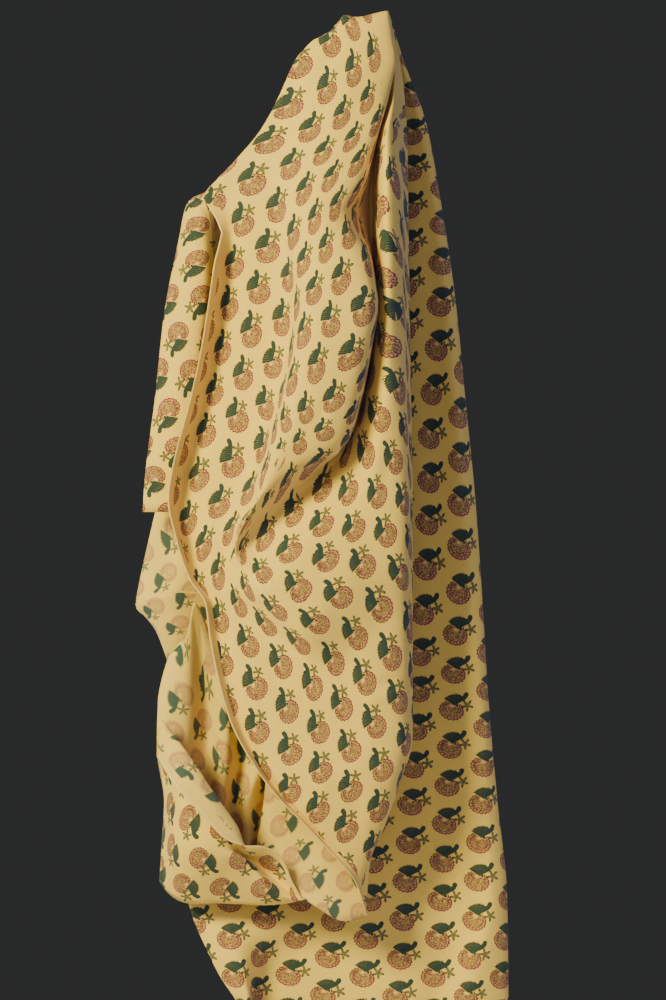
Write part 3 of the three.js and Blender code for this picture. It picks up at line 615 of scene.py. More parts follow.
def laid_flat(points):
    """The stretch laid out flat: places in metres, across and down, that keep every cell's lengths.

    A coarse grid settles first: each side asks for its own length in its present direction, and least
    squares finds the places that please all sides best. The fine points then relax between them.
    """
    across, down, slanted = side_lengths(points)
    coarse = points[::FINER, ::FINER]
    rows, columns = coarse.shape[:2]
    wide = across[::FINER].reshape(rows, columns - 1, FINER).sum(axis=2)
    tall = down[:, ::FINER].reshape(rows - 1, FINER, columns).sum(axis=1)
    fall, climb = diagonals(coarse, wide, tall)
    number = np.arange(rows * columns).reshape(rows, columns)
    ends = [(number[:, :-1], number[:, 1:], wide), (number[:-1], number[1:], tall),
            (number[:-1, :-1], number[1:, 1:], fall), (number[1:, :-1], number[:-1, 1:], climb)]
    one = np.concatenate([a.ravel() for a, b, size in ends])
    two = np.concatenate([b.ravel() for a, b, size in ends])
    size = np.concatenate([size.ravel() for a, b, size in ends])
    weight = 1.0 / (size + 0.003)
    pull = np.zeros((rows * columns, rows * columns))
    np.add.at(pull, (one, one), weight)
    np.add.at(pull, (two, two), weight)
    np.add.at(pull, (one, two), -weight)
    np.add.at(pull, (two, one), -weight)
    pull[0, 0] += weight[0]
    solved = np.linalg.inv(pull)
    middle = columns // 2
    x = np.concatenate([np.zeros((rows, 1)), np.cumsum(wide, axis=1)], axis=1)
    y = np.concatenate([np.zeros((1, columns)), np.cumsum(tall, axis=0)], axis=0)
    flat = np.stack([x - x[:, middle, None], np.repeat(y[:, middle, None], columns, axis=1)], axis=2)
    flat = flat.reshape(-1, 2)
    for _ in range(SOLVES):
        way = flat[two] - flat[one]
        wanted = way * (weight * size / np.maximum(np.linalg.norm(way, axis=1), 1e-9))[:, None]
        total = np.zeros_like(flat)
        np.add.at(total, two, wanted)
        np.add.at(total, one, -wanted)
        flat = solved @ total
    flat = flat.reshape(rows, columns, 2)
    flat = finer(finer(flat).transpose(1, 0, 2)).transpose(1, 0, 2)
    return relaxed(flat, across, down, slanted)


def finer(values):
    """Smooth curve through the coarse rows, at FINER steps from each to the next."""
    ends = [2 * values[:1] - values[1:2], values, 2 * values[-1:] - values[-2:-1]]
    row = np.concatenate(ends, axis=0)
    t = (np.arange(FINER) / FINER)[None, :, None, None]
    p0, p1, p2, p3 = (row[i:len(row) - 3 + i, None] for i in range(4))
    bend = p1 + 0.5 * t * (p2 - p0 + t * (2 * p0 - 5 * p1 + 4 * p2 - p3 + t * (3 * (p1 - p2) + p3 - p0)))
    return np.concatenate([bend.reshape(-1, *values.shape[1:]), values[-1:]], axis=0)


def relaxed(flat, across, down, slanted):
    """Each point moves by the mean of what its eight sides ask for, over and over."""
    fall, climb = slanted
    for _ in range(RELAXES):
        move = np.zeros_like(flat)
        for one, two, size in (
            (np.s_[:, :-1], np.s_[:, 1:], across),
            (np.s_[:-1], np.s_[1:], down),
            (np.s_[:-1, :-1], np.s_[1:, 1:], fall),
            (np.s_[1:, :-1], np.s_[:-1, 1:], climb),
        ):
            way = flat[two] - flat[one]
            length = np.maximum(np.linalg.norm(way, axis=2), 1e-9)
            ask = way * (0.5 * (1.0 - size / length))[..., None]
            move[one] += ask
            move[two] -= ask
        flat = flat + move / 5.0
    return flat


def settled(points, flat, sprigs, wide, drop):
    """The flat stretch, turned and slid until its sprigs lie where the table of them says.

    A row of sprigs is [across, down, column, row]. What is then left of each sprig's difference
    fades away with distance from it.
    """
    table = np.array(sprigs, float)
    seen = picture(points)
    gap = np.linalg.norm(seen[None] - table[:, None, None, :2], axis=3)
    nearest = gap.min(axis=(1, 2), keepdims=True)
    depth = np.where(gap < nearest + 2.5, points[None, ..., 1], np.inf)
    pick = depth.reshape(len(table), -1).argmin(axis=1)
    aim = table[:, 2:] * [wide, drop]
    own = flat.reshape(-1, 2)[pick]
    left, right = own - own.mean(axis=0), aim - aim.mean(axis=0)
    turn = np.arctan2((left[:, 0] * right[:, 1] - left[:, 1] * right[:, 0]).sum(), (left * right).sum())
    spin = np.array([[np.cos(turn), np.sin(turn)], [-np.sin(turn), np.cos(turn)]])
    flat = (flat - own.mean(axis=0)) @ spin + aim.mean(axis=0)
    for reach in (0.25, 0.12, 0.06, 0.06, 0.045):
        own = flat.reshape(-1, 2)[pick]
        away = np.linalg.norm(flat[:, :, None] - own, axis=3)
        share = np.exp(-((away / reach) ** 2))
        flat = flat + (share @ (aim - own)) / (share.sum(axis=2, keepdims=True) + 0.3)
    return untangled(points, flat)


def untangled(points, flat):
    """Where the print would turn over or bunch up, points move to the middle of their four neighbours."""
    across, down = side_lengths(points)[:2]
    wanted = across[:-1] * down[:, :-1]
    for _ in range(UNTANGLES):
        along = flat[1:, :-1] - flat[:-1, :-1]
        beside = flat[:-1, 1:] - flat[:-1, :-1]
        area = beside[..., 0] * along[..., 1] - beside[..., 1] * along[..., 0]
        bad = np.pad(area * np.sign(area.sum()) < 0.25 * wanted, 3)
        if not bad.any():
            break
        near = np.zeros(flat.shape[:2], bool)
        for i in range(6):
            for k in range(6):
                near |= bad[i:i + near.shape[0], k:k + near.shape[1]]
        near[[0, -1]] = False
        near[:, [0, -1]] = False
        middle = flat.copy()
        middle[1:-1, 1:-1] = 0.25 * (flat[2:, 1:-1] + flat[:-2, 1:-1] + flat[1:-1, 2:] + flat[1:-1, :-2])
        flat = np.where(near[..., None], middle, flat)
    return flat


def cloth_panels():
    """The stretches of the sheet: number of each point, place, and whether its cells turn the other way."""
    main = main_grid()
    back = back_grid(main)
    flap = flap_grid(main)
    pocket = pocket_grid(main)
    main, back, flap, pocket = (brimmed(grid) for grid in (main, back, flap, pocket))
    ids = []
    first = 0
    for grid in (main, back, flap, pocket):
        ids.append(first + np.arange(grid.shape[0] * grid.shape[1]).reshape(grid.shape[:2]))
        first += ids[-1].size
    main_id, back_id, flap_id, pocket_id = ids
    down_to = int((levels(15) <= SHARED).sum())
    back_id[:down_to, 0] = main_id[:down_to, -1]
    seam_to = int((levels(8) <= SEAM).sum())
    flap_id[:seam_to, 0] = main_id[:seam_to, 0]
    width = pocket.shape[1] - 1
    pocket_id[0] = main_id[-1, -1 - width:]
    side = FINER * 6
    pocket_id[1:side + 1, -1] = main_id[-2:-2 - side:-1, -1]
    pocket_id[:, 0] = pocket_id[0, 0]
    fold = FINER * sum(line[2] for line in list(LOWER.values())[:-1])
    valley = fold + FINER * (LOWER["fold"][2] + sum(WALL_CELLS[:3]))
    places = np.concatenate([grid.reshape(-1, 3) for grid in (main, back, flap, pocket)])
    panels = {
        "front": (main_id[:, :fold + 1], main[:, :fold + 1], False),
        "lining": (main_id[:, fold:valley + 1], main[:, fold:valley + 1], False),
        "wall": (main_id[:, valley:], main[:, valley:], False),
        "back": (back_id, back, False),
        "flap": (flap_id, flap, True),
        "pocket": (pocket_id, pocket, False),
    }
    return places, panels


def cells_of(ids, turned):
    """Corners of every cell of a grid, and the grid places of those corners."""
    rows, columns = ids.shape
    i, k = np.meshgrid(np.arange(rows - 1), np.arange(columns - 1), indexing="ij")
    i, k = i.ravel(), k.ravel()
    row = np.stack([i, i + 1, i + 1, i], axis=1)
    column = np.stack([k, k, k + 1, k + 1], axis=1)
    if turned:
        row, column = row[:, ::-1], column[:, ::-1]
    return ids[row, column], row, column


def cloth_mesh(name, wide, drop):
    """The whole sheet as one mesh, its print map and its map of distances from the selvedge."""
    places, panels = cloth_panels()
    corners, prints, rims = [], [], []
    for part, (ids, points, turned) in panels.items():
        flat = laid_flat(points)
        if turned:
            flat = flat * [-1.0, 1.0]
        flat = settled(points, flat, PRINTED[part], wide, drop)
        rim = rim_map(part, points)
        rim[..., 0] = np.minimum(rim[..., 0], 0.03)
        rim[..., 0] += (BARE - rim[..., 0]) * bunched(points, flat) * (rim[..., 0] > 0.02)
        cell, row, column = cells_of(ids, turned)
        corners.append(cell)
        prints.append(flat[row, column])
        rims.append(rim[row, column])
    corners = np.concatenate(corners)
    prints = np.concatenate(prints)
    rims = np.concatenate(rims)
    used, corners = np.unique(corners, return_inverse=True)
    corners = corners.reshape(-1, 4)
    keep = corners != np.roll(corners, -1, axis=1)
    whole = keep.all(axis=1)
    thin = keep.sum(axis=1) == 3
    faces = corners[whole].tolist() + [c[k].tolist() for c, k in zip(corners[thin], keep[thin])]
    mesh = bpy.data.meshes.new(name)
    mesh.from_pydata(places[used].tolist(), [], faces)
    for title, values in (("print", prints), ("rim", rims)):
        layer = mesh.uv_layers.new(name=title)
        flat_values = np.concatenate([values[whole].reshape(-1, 2), values[thin][keep[thin]]])
        layer.data.foreach_set("uv", flat_values.astype(np.float32).ravel())
    mesh.polygons.foreach_set("use_smooth", np.ones(len(faces), bool))
    mesh.update()
    return mesh


def bunched(points, flat):
    """1 where the print would be squeezed or drawn out too far, so that the cloth stays plain there."""
    across, down = side_lengths(points)[:2]
    wide = np.linalg.norm(np.diff(flat, axis=1), axis=2) / np.maximum(across, 1e-6)
    tall = np.linalg.norm(np.diff(flat, axis=0), axis=2) / np.maximum(down, 1e-6)
    most = np.pad(wide, ((0, 0), (0, 1)))
    most = np.maximum(most, np.pad(wide, ((0, 0), (1, 0))))
    most = np.maximum(most, np.pad(tall, ((0, 1), (0, 0))))
    most = np.maximum(most, np.pad(tall, ((1, 0), (0, 0))))
    least = np.ones(points.shape[:2])
    least[:-1, :-1] = np.minimum(wide[:-1], tall[:, :-1])
    squeezed = ease((most - SQUEEZED[0]) / SQUEEZED[1])
    return squeezed.clip(ease((DRAWN[0] - least) / DRAWN[1]), 1.0)


def rim_map(part, points):
    """Metres from the selvedge and metres along it; far from any selvedge on the other stretches."""
    across = np.linalg.norm(np.diff(points, axis=1), axis=2)
    down = np.linalg.norm(np.diff(points, axis=0), axis=2)
    along = np.concatenate([np.zeros((1, down.shape[1])), np.cumsum(down, axis=0)])
    if part == "front":
        away = np.concatenate([np.zeros((across.shape[0], 1)), np.cumsum(across, axis=1)], axis=1)
        away = away + 0.5 * (1.0 - ease((levels(15) - SEAM + 0.1) / 0.15))[:, None]
        return np.stack([away, np.repeat(along[:, :1], points.shape[1], axis=1)], axis=2)
    if part == "pocket":
        up = along[-1:] - along
        side = np.concatenate([np.zeros((across.shape[0], 1)), np.cumsum(across, axis=1)], axis=1)
        return np.stack([up, np.repeat(side[-1:], points.shape[0], axis=0)], axis=2)
    return np.full(points.shape[:2] + (2,), 0.5)


class Wire:
    """A value on its way through a node tree. Arithmetic on it adds Math nodes."""

    def __init__(self, tree, socket):
        self.tree = tree
        self.socket = socket

    def step(self, operation, *others, clamp=False):
        node = self.tree.nodes.new("ShaderNodeMath")
        node.operation = operation
        node.use_clamp = clamp
        for slot, value in zip(node.inputs, (self,) + others):
            feed(self.tree, slot, value)
        return Wire(self.tree, node.outputs[0])

    def __add__(self, other):
        return self.step("ADD", other)

    def __sub__(self, other):
        return self.step("SUBTRACT", other)

    def __rsub__(self, other):
        return self.step("MULTIPLY_ADD", -1.0, other)

    def __mul__(self, other):
        return self.step("MULTIPLY", other)

    def __truediv__(self, other):
        return self.step("DIVIDE", other)

    __radd__ = __add__
    __rmul__ = __mul__

    def size(self):
        return self.step("ABSOLUTE")

    def wave(self):
        return self.step("SINE")

    def held(self):
        return self.step("ADD", 0.0, clamp=True)

    def least(self, other):
        return self.step("MINIMUM", other)

    def most(self, other):
        return self.step("MAXIMUM", other)

    def inside(self, soft):
        """1 where a distance is below nought, 0 above it, with a soft step between."""
        return (0.5 - self / (soft * 2.0)).held()

    def on(self, half, soft):
        """1 where a distance is within half of nought."""
        return (self.size() - half).inside(soft)


def feed(tree, slot, value):
    if isinstance(value, Wire):
        tree.links.new(value.socket, slot)
    else:
        slot.default_value = value


def far_from(x, y):
    """Length of (x, y): root of the sum of the squares."""
    return (x * x + y * y).step("SQRT")


def split(tree, vector):
    node = tree.nodes.new("ShaderNodeSeparateXYZ")
    feed(tree, node.inputs[0], vector)
    return [Wire(tree, node.outputs[i]) for i in range(3)]


def joined(tree, x, y, z=0.0):
    node = tree.nodes.new("ShaderNodeCombineXYZ")
    for slot, value in zip(node.inputs, (x, y, z)):
        feed(tree, slot, value)
    return Wire(tree, node.outputs[0])


def noise(tree, place, scale, detail=2.0, roughness=0.5, colour=False):
    node = tree.nodes.new("ShaderNodeTexNoise")
    node.inputs["Scale"].default_value = scale
    node.inputs["Detail"].default_value = detail
    node.inputs["Roughness"].default_value = roughness
    feed(tree, node.inputs["Vector"], place)
    return Wire(tree, node.outputs["Color" if colour else "Fac"])


def over(tree, below, above, mask):
    """Colour above laid over colour below where the mask is 1."""
    node = tree.nodes.new("ShaderNodeMix")
    node.data_type = "RGBA"
    feed(tree, node.inputs["Factor"], mask)
    feed(tree, node.inputs["A"], below)
    feed(tree, node.inputs["B"], above)
    return Wire(tree, node.outputs["Result"])


def group(name, inputs, outputs):
    """An empty node group with named inputs and outputs: (tree, inputs by name, output node)."""
    tree = bpy.data.node_groups.new(name, "ShaderNodeTree")
    kinds = {"number": "NodeSocketFloat", "place": "NodeSocketVector", "colour": "NodeSocketColor"}
    for title, kind in inputs.items():
        tree.interface.new_socket(name=title, in_out="INPUT", socket_type=kinds[kind])
    for title, kind in outputs.items():
        tree.interface.new_socket(name=title, in_out="OUTPUT", socket_type=kinds[kind])
    entry = tree.nodes.new("NodeGroupInput")
    given = {title: Wire(tree, entry.outputs[title]) for title in inputs}
    return tree, given, tree.nodes.new("NodeGroupOutput")


def sprig_group():
    """Block print of one small sprig, again and again in a half-drop repeat.

    Each column of the repeat is cut into cells, every second column half a cell lower. In a cell x and y
    are millimetres from the sprig's middle, right and up. The leaf is an ellipse cut straight at its right
    and along the blossom, with a toothed side, a bent neck and a round tip. The blossom is an ellipse with
    a scalloped rim; share is 0 at the leaf's foot and 1 at that ellipse, in rings that grow from the one
    to the other: the root of share squared (1 - d.d) + 2 share p.d - p.p. The little star's radius swells
    five times. A mark is laid where its distance is below nought, with a step as wide as Softness.
    """
    tree, given, out = group(
        "Sprig print",
        {"Place": "place", "Column": "number", "Row": "number", "Softness": "number",
         "Strength": "number", "Outlines": "number", "Ground": "colour", "Leaf": "colour",
         "Leaf Shade": "colour", "Blossom": "colour", "Outline": "colour", "Stamens": "colour"},
        {"Colour": "colour", "Ink": "number"},
    )
    u, v = split(tree, given["Place"])[:2]
    soft = given["Softness"]
    lined = given["Outlines"]
    across = u / given["Column"]
    column = (across + 0.5).step("FLOOR")
    down = v / given["Row"] - (column * 0.5).step("FRACT")
    row = (down + 0.5).step("FLOOR")
    chance = tree.nodes.new("ShaderNodeTexWhiteNoise")
    feed(tree, chance.inputs["Vector"], joined(tree, column, row, 3.7))
    luck = split(tree, Wire(tree, chance.outputs["Color"]))
    wobble = split(tree, noise(tree, given["Place"], 430.0, 2.0, 0.6, colour=True))
    x = (across - column) * given["Column"] * 1000.0 + (luck[0] - 0.5) * 1.4 + (wobble[0] - 0.5) * 1.7
    y = (row - down) * given["Row"] * 1000.0 + (luck[1] - 0.5) * 1.4 + (wobble[1] - 0.5) * 1.7

    # Leaf
    hatch = ((y - x * 0.35) * 3.3 + (wobble[2] - 0.5) * 4.0).wave()
    fringe = ((x + 4.6) * -0.2).held()
    body = far_from((x + 3.4) / 10.3, (y + 1.7) / 13.4) * 11.0 - 11.0 + hatch * fringe * 0.7
    body = body.most(x + 0.8).most(x * 0.447 - y * 0.894 - 0.7)
    ring = far_from(x + 13.0, y - 10.0)
    neck = ((ring - 9.9).size() - 2.5).most(y * 0.79 - x * 0.61 - 15.9).most(6.0 - y)
    tip = far_from(x + 5.3, y - 16.0) - 2.6
    point = far_from((x - 0.2) / 2.2, (y - 1.5) / 1.3) * 1.7 - 1.7
    shape = body.least(neck).least(tip).least(point)
    leaf = shape.inside(soft)
    worn = noise(tree, given["Place"], 210.0, 3.0, 0.65)
    gleam = (hatch * 2.2 - 2.3 + fringe * 1.2 + (worn - 0.5) * 3.0).held() * (shape + 0.9).inside(soft)
    shade = (hatch * -1.8 - 0.6 + fringe * 0.7 + (worn - 0.5) * 1.5).held()
    shade = shade.most((shape + 0.35).on(0.5, soft) * (fringe * 0.5 + 0.5)) * lined

    # Blossom
    right = x - 2.4
    high = y + 6.7
    long = (right + high) * 0.0548
    wide = (right - high) * 0.0690
    turn = wide.step("ARCTAN2", long)
    rim = far_from(long, wide) * 11.4 - 11.4
    from_foot = long + 0.1
    out_of_foot = wide + 0.62
    toward = from_foot * 0.1 + out_of_foot * 0.62
    share = toward * toward + (from_foot * from_foot + out_of_foot * out_of_foot) * 0.606
    share = (share.step("SQRT") - toward) / 0.606
    broken = (noise(tree, given["Place"], 620.0, 2.0, 0.6) * 3.6 - 1.15).held()
    uncovered = 1.0 - (shape - 0.55).inside(soft * 0.6 + 0.1)
    bumps = (turn * 9.0 + luck[2] * 3.0).wave().size()
    slipped = rim - (long * (luck[0] + 0.1) + wide * (luck[1] + 0.1)) * 1.3
    band = (slipped + 2.2).on(2.1, soft) * (0.36 + worn * 0.62)
    ring = (share - 0.33 - (turn * 5.0).wave() * 0.03).on(0.05, soft * 0.08) * 0.8
    blush = (0.85 - share).step("MULTIPLY", 6.0, clamp=True) * (worn * 2.6 - 0.85).held() * 0.5
    rosy = band.most(ring).most(blush).held() * uncovered
    outer = (rim + 0.9 - bumps * 1.15).on(0.72, soft * 0.8)
    second = (rim + 3.6 - (turn * 9.0 + luck[2] * 3.0 + 1.4).wave().size() * 1.3).on(0.6, soft * 0.8)
    loops = (share - 0.75 - (turn * 15.0 + luck[0] * 6.0).wave() * 0.05).on(0.04, soft * 0.06)
    small = (share - 0.40 - (turn * 11.0 + luck[1] * 6.0).wave() * 0.045).on(0.04, soft * 0.06)
    lines = outer * (broken * 0.2 + 0.8)
    curl = noise(tree, given["Place"], 470.0, 1.5, 0.5)
    twist = (curl - 0.5).on(0.046, soft * 0.06) * (share - 0.58).on(0.36, soft * 0.1)
    lines = lines.most(second * broken).most(loops * broken).most(small * broken).most(twist * 0.8)
    lines = lines * uncovered * lined
    curls = (share - 0.60 - (turn * 17.0 + luck[0] * 6.0).wave() * 0.08).on(0.045, soft * 0.07)
    curls = curls.most((share - 0.56).on(0.12, soft * 0.1) * (broken * 0.4))
    curls = curls.most((share - 0.24).on(0.08, soft * 0.1) * broken * 0.7)
    curls = curls.most((curl - 0.58).on(0.03, soft * 0.06) * (share - 0.5).on(0.34, soft * 0.1))
    stamens = curls * uncovered * (lined * 0.75 + 0.25)

    # Little star
    beside = x - 5.9
    above = y - 10.9
    spike = ((above.step("ARCTAN2", beside) * 2.5 - 3.0 + (luck[1] - 0.5) * 1.5).wave()).size()
    star = far_from(beside, above) - 1.7 - spike * spike * (4.0 + luck[0] * 1.2)
    starry = star.inside(soft) * (0.75 + broken * 0.25)
    star_edge = (star + 0.4).on(0.8, soft) * (0.65 + broken * 0.35) * lined

    density = given["Strength"] * ((worn * 0.9 + 0.6).held() * 0.3 + 0.7)
    full = density * 0.15 + 0.85
    paint = over(tree, given["Ground"], given["Blossom"], rosy * density * 0.92)
    paint = over(tree, paint, given["Stamens"], stamens * full * 0.7)
    paint = over(tree, paint, given["Outline"], lines * full * 0.97)
    paint = over(tree, paint, given["Leaf"], starry * full * 0.9)
    paint = over(tree, paint, given["Leaf Shade"], star_edge * full * 0.9)
    paint = over(tree, paint, given["Leaf"], leaf * full)
    paint = over(tree, paint, given["Leaf Shade"], shade * leaf * 0.9)
    paint = over(tree, paint, given["Ground"], gleam * 0.16 * lined)
    feed(tree, out.inputs["Colour"], paint)
    feed(tree, out.inputs["Ink"], leaf.most(rosy).most(lines).most(starry) * density)
    return tree


def weave_group():
    """Plain weave: warp and weft ridges cross, and thicker threads run through here and there."""
    tree, given, out = group(
        "Plain weave",
        {"Place": "place", "Thread": "number", "Tint": "colour"},
        {"Height": "number", "Colour": "colour"},
    )
    u, v = split(tree, given["Place"])[:2]
    turn = given["Thread"].step("POWER", -1.0) * 6.28318
    ridges = (u * turn).wave() * (v * turn).wave()
    warp = noise(tree, joined(tree, u * 1400.0, v * 26.0), 1.0, 2.0, 0.6)
    weft = noise(tree, joined(tree, u * 26.0, v * 1400.0, 5.0), 1.0, 2.0, 0.6)
    slubs = (warp + weft) * 0.5
    feed(tree, out.inputs["Height"], ridges * 0.35 + slubs * 1.3)
    cloudy = noise(tree, given["Place"], 9.0, 3.0, 0.55)
    tone = (slubs - 0.5) * 0.34 + (cloudy - 0.5) * 0.14 + 1.0
    scale = tree.nodes.new("ShaderNodeVectorMath")
    scale.operation = "SCALE"
    feed(tree, scale.inputs[0], given["Tint"])
    feed(tree, scale.inputs["Scale"], tone)
    feed(tree, out.inputs["Colour"], Wire(tree, scale.outputs[0]))
    return tree


MARGIN_STREAKS = (0.56, 0.33, 0.09, 1.0)
# Painted highlight: colour of the lit rolled edge along the selvedge, lighter than the ground
EDGE_HIGHLIGHT = (0.86, 0.62, 0.27, 1.0)

# Heights in metres that the shading stands out by
WEAVE_HIGH = 0.00006
CRUMPLE_HIGH = 0.0011
CORD_HIGH = 0.0003


def cotton_material(name, values, groups, reverse):
    """Cotton of one side of the sheet: print, weave, selvedge with a painted highlight along its edge, and
    the soft crumple of the cloth.
    """
    material = bpy.data.materials.new(name)
    material.use_nodes = True
    tree = material.node_tree
    shader = tree.nodes["Principled BSDF"]
    printed = tree.nodes.new("ShaderNodeUVMap")
    printed.uv_map = "print"
    rim = tree.nodes.new("ShaderNodeUVMap")
    rim.uv_map = "rim"
    place = Wire(tree, printed.outputs[0])
    away, along = split(tree, Wire(tree, rim.outputs[0]))[:2]
    dyed = values.reverse if reverse else values.ground
    rosy = values.blossom_reverse if reverse else values.blossom
    green = values.leaf_reverse if reverse else values.leaf
    weave = placed(tree, groups["weave"], {
        "Place": place, "Thread": values.thread, "Tint": tuple(dyed) + (1.0,)})
    sprig = placed(tree, groups["sprig"], {
        "Place": place, "Column": values.column, "Row": values.row,
        "Ground": weave["Colour"],
        "Leaf": tuple(green) + (1.0,), "Leaf Shade": tuple(values.leaf_shade) + (1.0,),
        "Blossom": tuple(rosy) + (1.0,), "Outline": tuple(values.outline) + (1.0,),
        "Stamens": tuple(values.stamens) + (1.0,),
        "Softness": 0.7 if reverse else 0.24,
        "Strength": 0.92 if reverse else 0.98,
        "Outlines": 0.3 if reverse else 1.0})
    bare = (away - values.selvedge).step("MULTIPLY", -900.0, clamp=True)
    colour = over(tree, sprig["Colour"], weave["Colour"], bare)
    streak = noise(tree, joined(tree, away * 1500.0, along * 6.0), 1.0, 2.0)
    margin = (streak * 2.2 - 0.75).held() * bare * 0.22
    # Painted highlight: a band about 2 mm wide at the selvedge edge is painted lighter, as where the rolled
    # edge catches the light; the same band also raises the edge in the bump
    raised_edge_and_highlight = (away - 0.0012).on(0.0011, 0.0004)
    colour = over(tree, colour, MARGIN_STREAKS, margin)
    colour = over(tree, colour, EDGE_HIGHLIGHT, raised_edge_and_highlight * 0.7)
    feed(tree, shader.inputs["Base Color"], colour)
    rough = (sprig["Ink"] * -0.08 + 0.86).held()
    feed(tree, shader.inputs["Roughness"], rough)
    shader.inputs["Sheen Weight"].default_value = 0.12
    shader.inputs["Sheen Roughness"].default_value = 0.5
    shader.inputs["Specular IOR Level"].default_value = 0.25
    u, v = split(tree, place)[:2]
    crumple = noise(tree, joined(tree, u * 34.0, v * 15.0), 1.0, 3.0, 0.5)
    raised = weave["Height"] * WEAVE_HIGH * values.relief + crumple * CRUMPLE_HIGH + raised_edge_and_highlight * CORD_HIGH
    bump = tree.nodes.new("ShaderNodeBump")
    bump.inputs["Strength"].default_value = 1.0
    bump.inputs["Distance"].default_value = 1.0
    feed(tree, bump.inputs["Height"], raised)
    tree.links.new(bump.outputs["Normal"], shader.inputs["Normal"])
    return material


def placed(tree, inner, values):
    """A node group placed in a material with its own values; returns its outputs by name."""
    node = tree.nodes.new("ShaderNodeGroup")
    node.node_tree = inner
    for title, value in values.items():
        feed(tree, node.inputs[title], value)
    return {socket.name: Wire(tree, socket) for socket in node.outputs}


def colour_value(name, description, default):
    """A colour in a property group."""
    return bpy.props.FloatVectorProperty(
        name=name, description=description, default=default, subtype="COLOR", size=3, min=0.0, max=1.0)


class CottonValues(bpy.types.PropertyGroup):
    """Sizes and colours of the cloth."""

    thickness: bpy.props.FloatProperty(
        name="Thickness", description="Through the sheet", default=0.0008, unit="LENGTH")
    column: bpy.props.FloatProperty(
        name="Column", description="From one column of sprigs to the next", default=0.0355, unit="LENGTH")
    row: bpy.props.FloatProperty(
        name="Row", description="From one sprig to the next in a column", default=0.0450, unit="LENGTH")
    selvedge: bpy.props.FloatProperty(
        name="Selvedge", description="Width of the margin left bare", default=0.012, unit="LENGTH")
    thread: bpy.props.FloatProperty(
        name="Thread", description="From one thread to the next", default=0.00045, unit="LENGTH")
    relief: bpy.props.FloatProperty(
        name="Relief", description="How strongly the weave stands out", default=1.0)
    ground: colour_value(
        "Ground", "Colour of the dyed cotton", (0.80, 0.525, 0.092))
    # The other side's ground is set a little darker than the front's; this darkening is partly painted
    # shade, standing in for the shade on the inner wall and the hollows where the reverse shows
    reverse: colour_value(
        "Reverse", "Colour of the cotton's other side", (0.75, 0.505, 0.108))
    leaf: colour_value(
        "Leaf", "Green of the leaf", (0.026, 0.054, 0.036))
    leaf_reverse: colour_value(
        "Leaf, reverse", "Green of the leaf where it shows through", (0.043, 0.078, 0.062))
    leaf_shade: colour_value(
        "Leaf shade", "Dark lines in the leaf", (0.016, 0.024, 0.019))
    blossom: colour_value(
        "Blossom", "Rosy band of the blossom", (0.66, 0.17, 0.17))
    blossom_reverse: colour_value(
        "Blossom, reverse", "Rosy band where it shows through", (0.47, 0.17, 0.15))
    outline: colour_value(
        "Outline", "Dark red outline of the blossom", (0.055, 0.008, 0.008))
    stamens: colour_value(
        "Stamens", "Grey-brown curls in the blossom", (0.058, 0.040, 0.034))


class StudioValues(bpy.types.PropertyGroup):
    """Light and floor."""

    key: bpy.props.FloatProperty(
        name="Key", description="Power of the large lamp at the left", default=148.0, unit="POWER")
    fill: bpy.props.FloatProperty(
        name="Fill", description="Power of each cool soft lamp all round", default=11.0, unit="POWER")
    surround: bpy.props.FloatProperty(
        name="Surround", description="Strength of the even grey all round", default=0.03)
    floor: colour_value(
        "Floor", "Colour of the floor", (0.72, 0.71, 0.69))


class COTTON_OT_hang(bpy.types.Operator):
    """Hangs the sheet in its folds and prints it"""

    bl_idname = "cotton.hang"
    bl_label = "Hang the cloth"

    def execute(self, context):
        values = context.scene.cotton_values
        mesh = cloth_mesh("cotton sheet", values.column, values.row)
        sheet = bpy.data.objects.new("cotton_sheet", mesh)
        context.scene.collection.objects.link(sheet)
        groups = {"sprig": sprig_group(), "weave": weave_group()}
        mesh.materials.append(cotton_material("printed cotton", values, groups, False))
        mesh.materials.append(cotton_material("cotton reverse", values, groups, True))
        solid = sheet.modifiers.new("thickness", "SOLIDIFY")
        solid.thickness = values.thickness
        solid.offset = 0.0
        solid.material_offset = 1
        solid.use_rim = True
        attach(sheet, "root")
        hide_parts("cloth")
        return {"FINISHED"}


# Studio, in metres
FLOOR_ACROSS = (-1.1, 1.1)
FLOOR_BACK = (-1.3, 0.9)
FLOOR_DOWN = -1.16
LIT = (0.0, 0.0, -0.5)  # middle of the cloth, which every lamp faces
KEY_SPOT = (-1.7, -1.95, 0.6)
KEY_WIDE = 0.8
KEY_LIGHT = (1.0, 0.95, 0.4)
COOL_SPOTS = {"front": (0.5, -2.4, 0.1), "left": (-2.2, -0.4, -0.2),
              "right": (2.2, -0.6, 0.1), "behind": (0.3, 2.2, 0.3)}
COOL_WIDE = 2.0
COOL_LIGHT = (0.84, 0.95, 2.0)
FILM_HIGH = 36.0  # millimetres


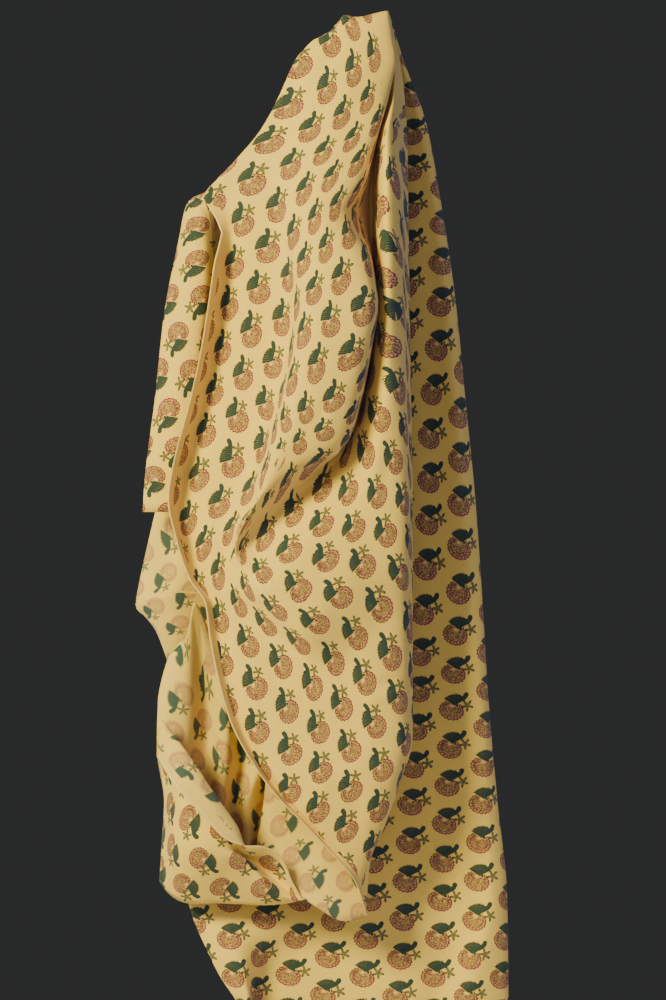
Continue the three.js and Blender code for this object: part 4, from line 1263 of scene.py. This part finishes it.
class COTTON_OT_studio(bpy.types.Operator):
    """Sets the floor, the soft lamps and the camera"""

    bl_idname = "cotton.studio"
    bl_label = "Set the studio"

    def execute(self, context):
        values = context.scene.studio_values
        scene = context.scene
        u, v = np.meshgrid(FLOOR_ACROSS, FLOOR_BACK, indexing="ij")
        corners = np.stack([u, v, np.full_like(u, FLOOR_DOWN)], axis=-1).reshape(-1, 3)
        mesh = bpy.data.meshes.new("floor")
        mesh.from_pydata(corners.tolist(), [], [(0, 2, 3, 1)])
        floor = bpy.data.objects.new("floor", mesh)
        scene.collection.objects.link(floor)
        paint = bpy.data.materials.new("pale floor")
        paint.use_nodes = True
        shader = paint.node_tree.nodes["Principled BSDF"]
        shader.inputs["Base Color"].default_value = tuple(values.floor) + (1.0,)
        shader.inputs["Roughness"].default_value = 0.8
        mesh.materials.append(paint)
        lamp(scene, "key", KEY_SPOT, KEY_WIDE, values.key, KEY_LIGHT)
        for name, spot in COOL_SPOTS.items():
            lamp(scene, name, spot, COOL_WIDE, values.fill, COOL_LIGHT)
        world = bpy.data.worlds.new("surround")
        world.use_nodes = True
        ground = world.node_tree.nodes["Background"]
        ground.inputs["Color"].default_value = (0.95, 0.97, 1.0, 1.0)
        ground.inputs["Strength"].default_value = values.surround
        scene.world = world
        lens = bpy.data.cameras.new("camera")
        lens.sensor_fit = "VERTICAL"
        lens.sensor_height = FILM_HIGH
        lens.lens = FILM_HIGH * FAR / (1000 * PIXEL)
        lens.clip_end = 50.0
        camera = bpy.data.objects.new("camera", lens)
        camera.location = (-(TOP[0] - CENTRE[0]) * PIXEL, -FAR, -(CENTRE[1] - TOP[1]) * PIXEL)
        camera.rotation_euler = (np.pi / 2, 0.0, 0.0)
        scene.collection.objects.link(camera)
        scene.camera = camera
        return {"FINISHED"}


def lamp(scene, name, spot, size, power, colour):
    """A square soft lamp that faces the middle of the cloth and isn't seen itself."""
    light = bpy.data.lights.new(name, "AREA")
    light.size = size
    light.energy = power
    light.color = colour
    body = bpy.data.objects.new(name, light)
    body.location = spot
    body.visible_camera = False
    aim = np.array(LIT) - np.array(spot)
    flat = np.hypot(aim[0], aim[1])
    body.rotation_euler = (np.arctan2(flat, -aim[2]), 0.0, np.arctan2(aim[1], aim[0]) - np.pi / 2)
    scene.collection.objects.link(body)


class COTTON_PT_panel(bpy.types.Panel):
    """Lists the cloth, the studio and their values"""

    bl_idname = "COTTON_PT_panel"
    bl_label = "Block-printed cotton"
    bl_space_type = "VIEW_3D"
    bl_region_type = "UI"
    bl_category = "Cotton"

    def draw(self, context):
        layout = self.layout
        for values, button in (("cotton_values", "cotton.hang"), ("studio_values", "cotton.studio")):
            owner = getattr(context.scene, values)
            box = layout.box()
            for title in owner.__annotations__:
                box.prop(owner, title)
            box.operator(button)


CLASSES = (CottonValues, StudioValues, COTTON_OT_hang, COTTON_OT_studio, COTTON_PT_panel)


def register():
    for kind in CLASSES:
        bpy.utils.register_class(kind)
    bpy.types.Scene.cotton_values = bpy.props.PointerProperty(type=CottonValues)
    bpy.types.Scene.studio_values = bpy.props.PointerProperty(type=StudioValues)


def unregister():
    del bpy.types.Scene.cotton_values
    del bpy.types.Scene.studio_values
    for kind in reversed(CLASSES):
        bpy.utils.unregister_class(kind)


def main():
    register()
    bpy.ops.cotton.studio()
    bpy.ops.cotton.hang()
    bpy.context.view_layer.update()


if __name__ == "__main__":
    main()
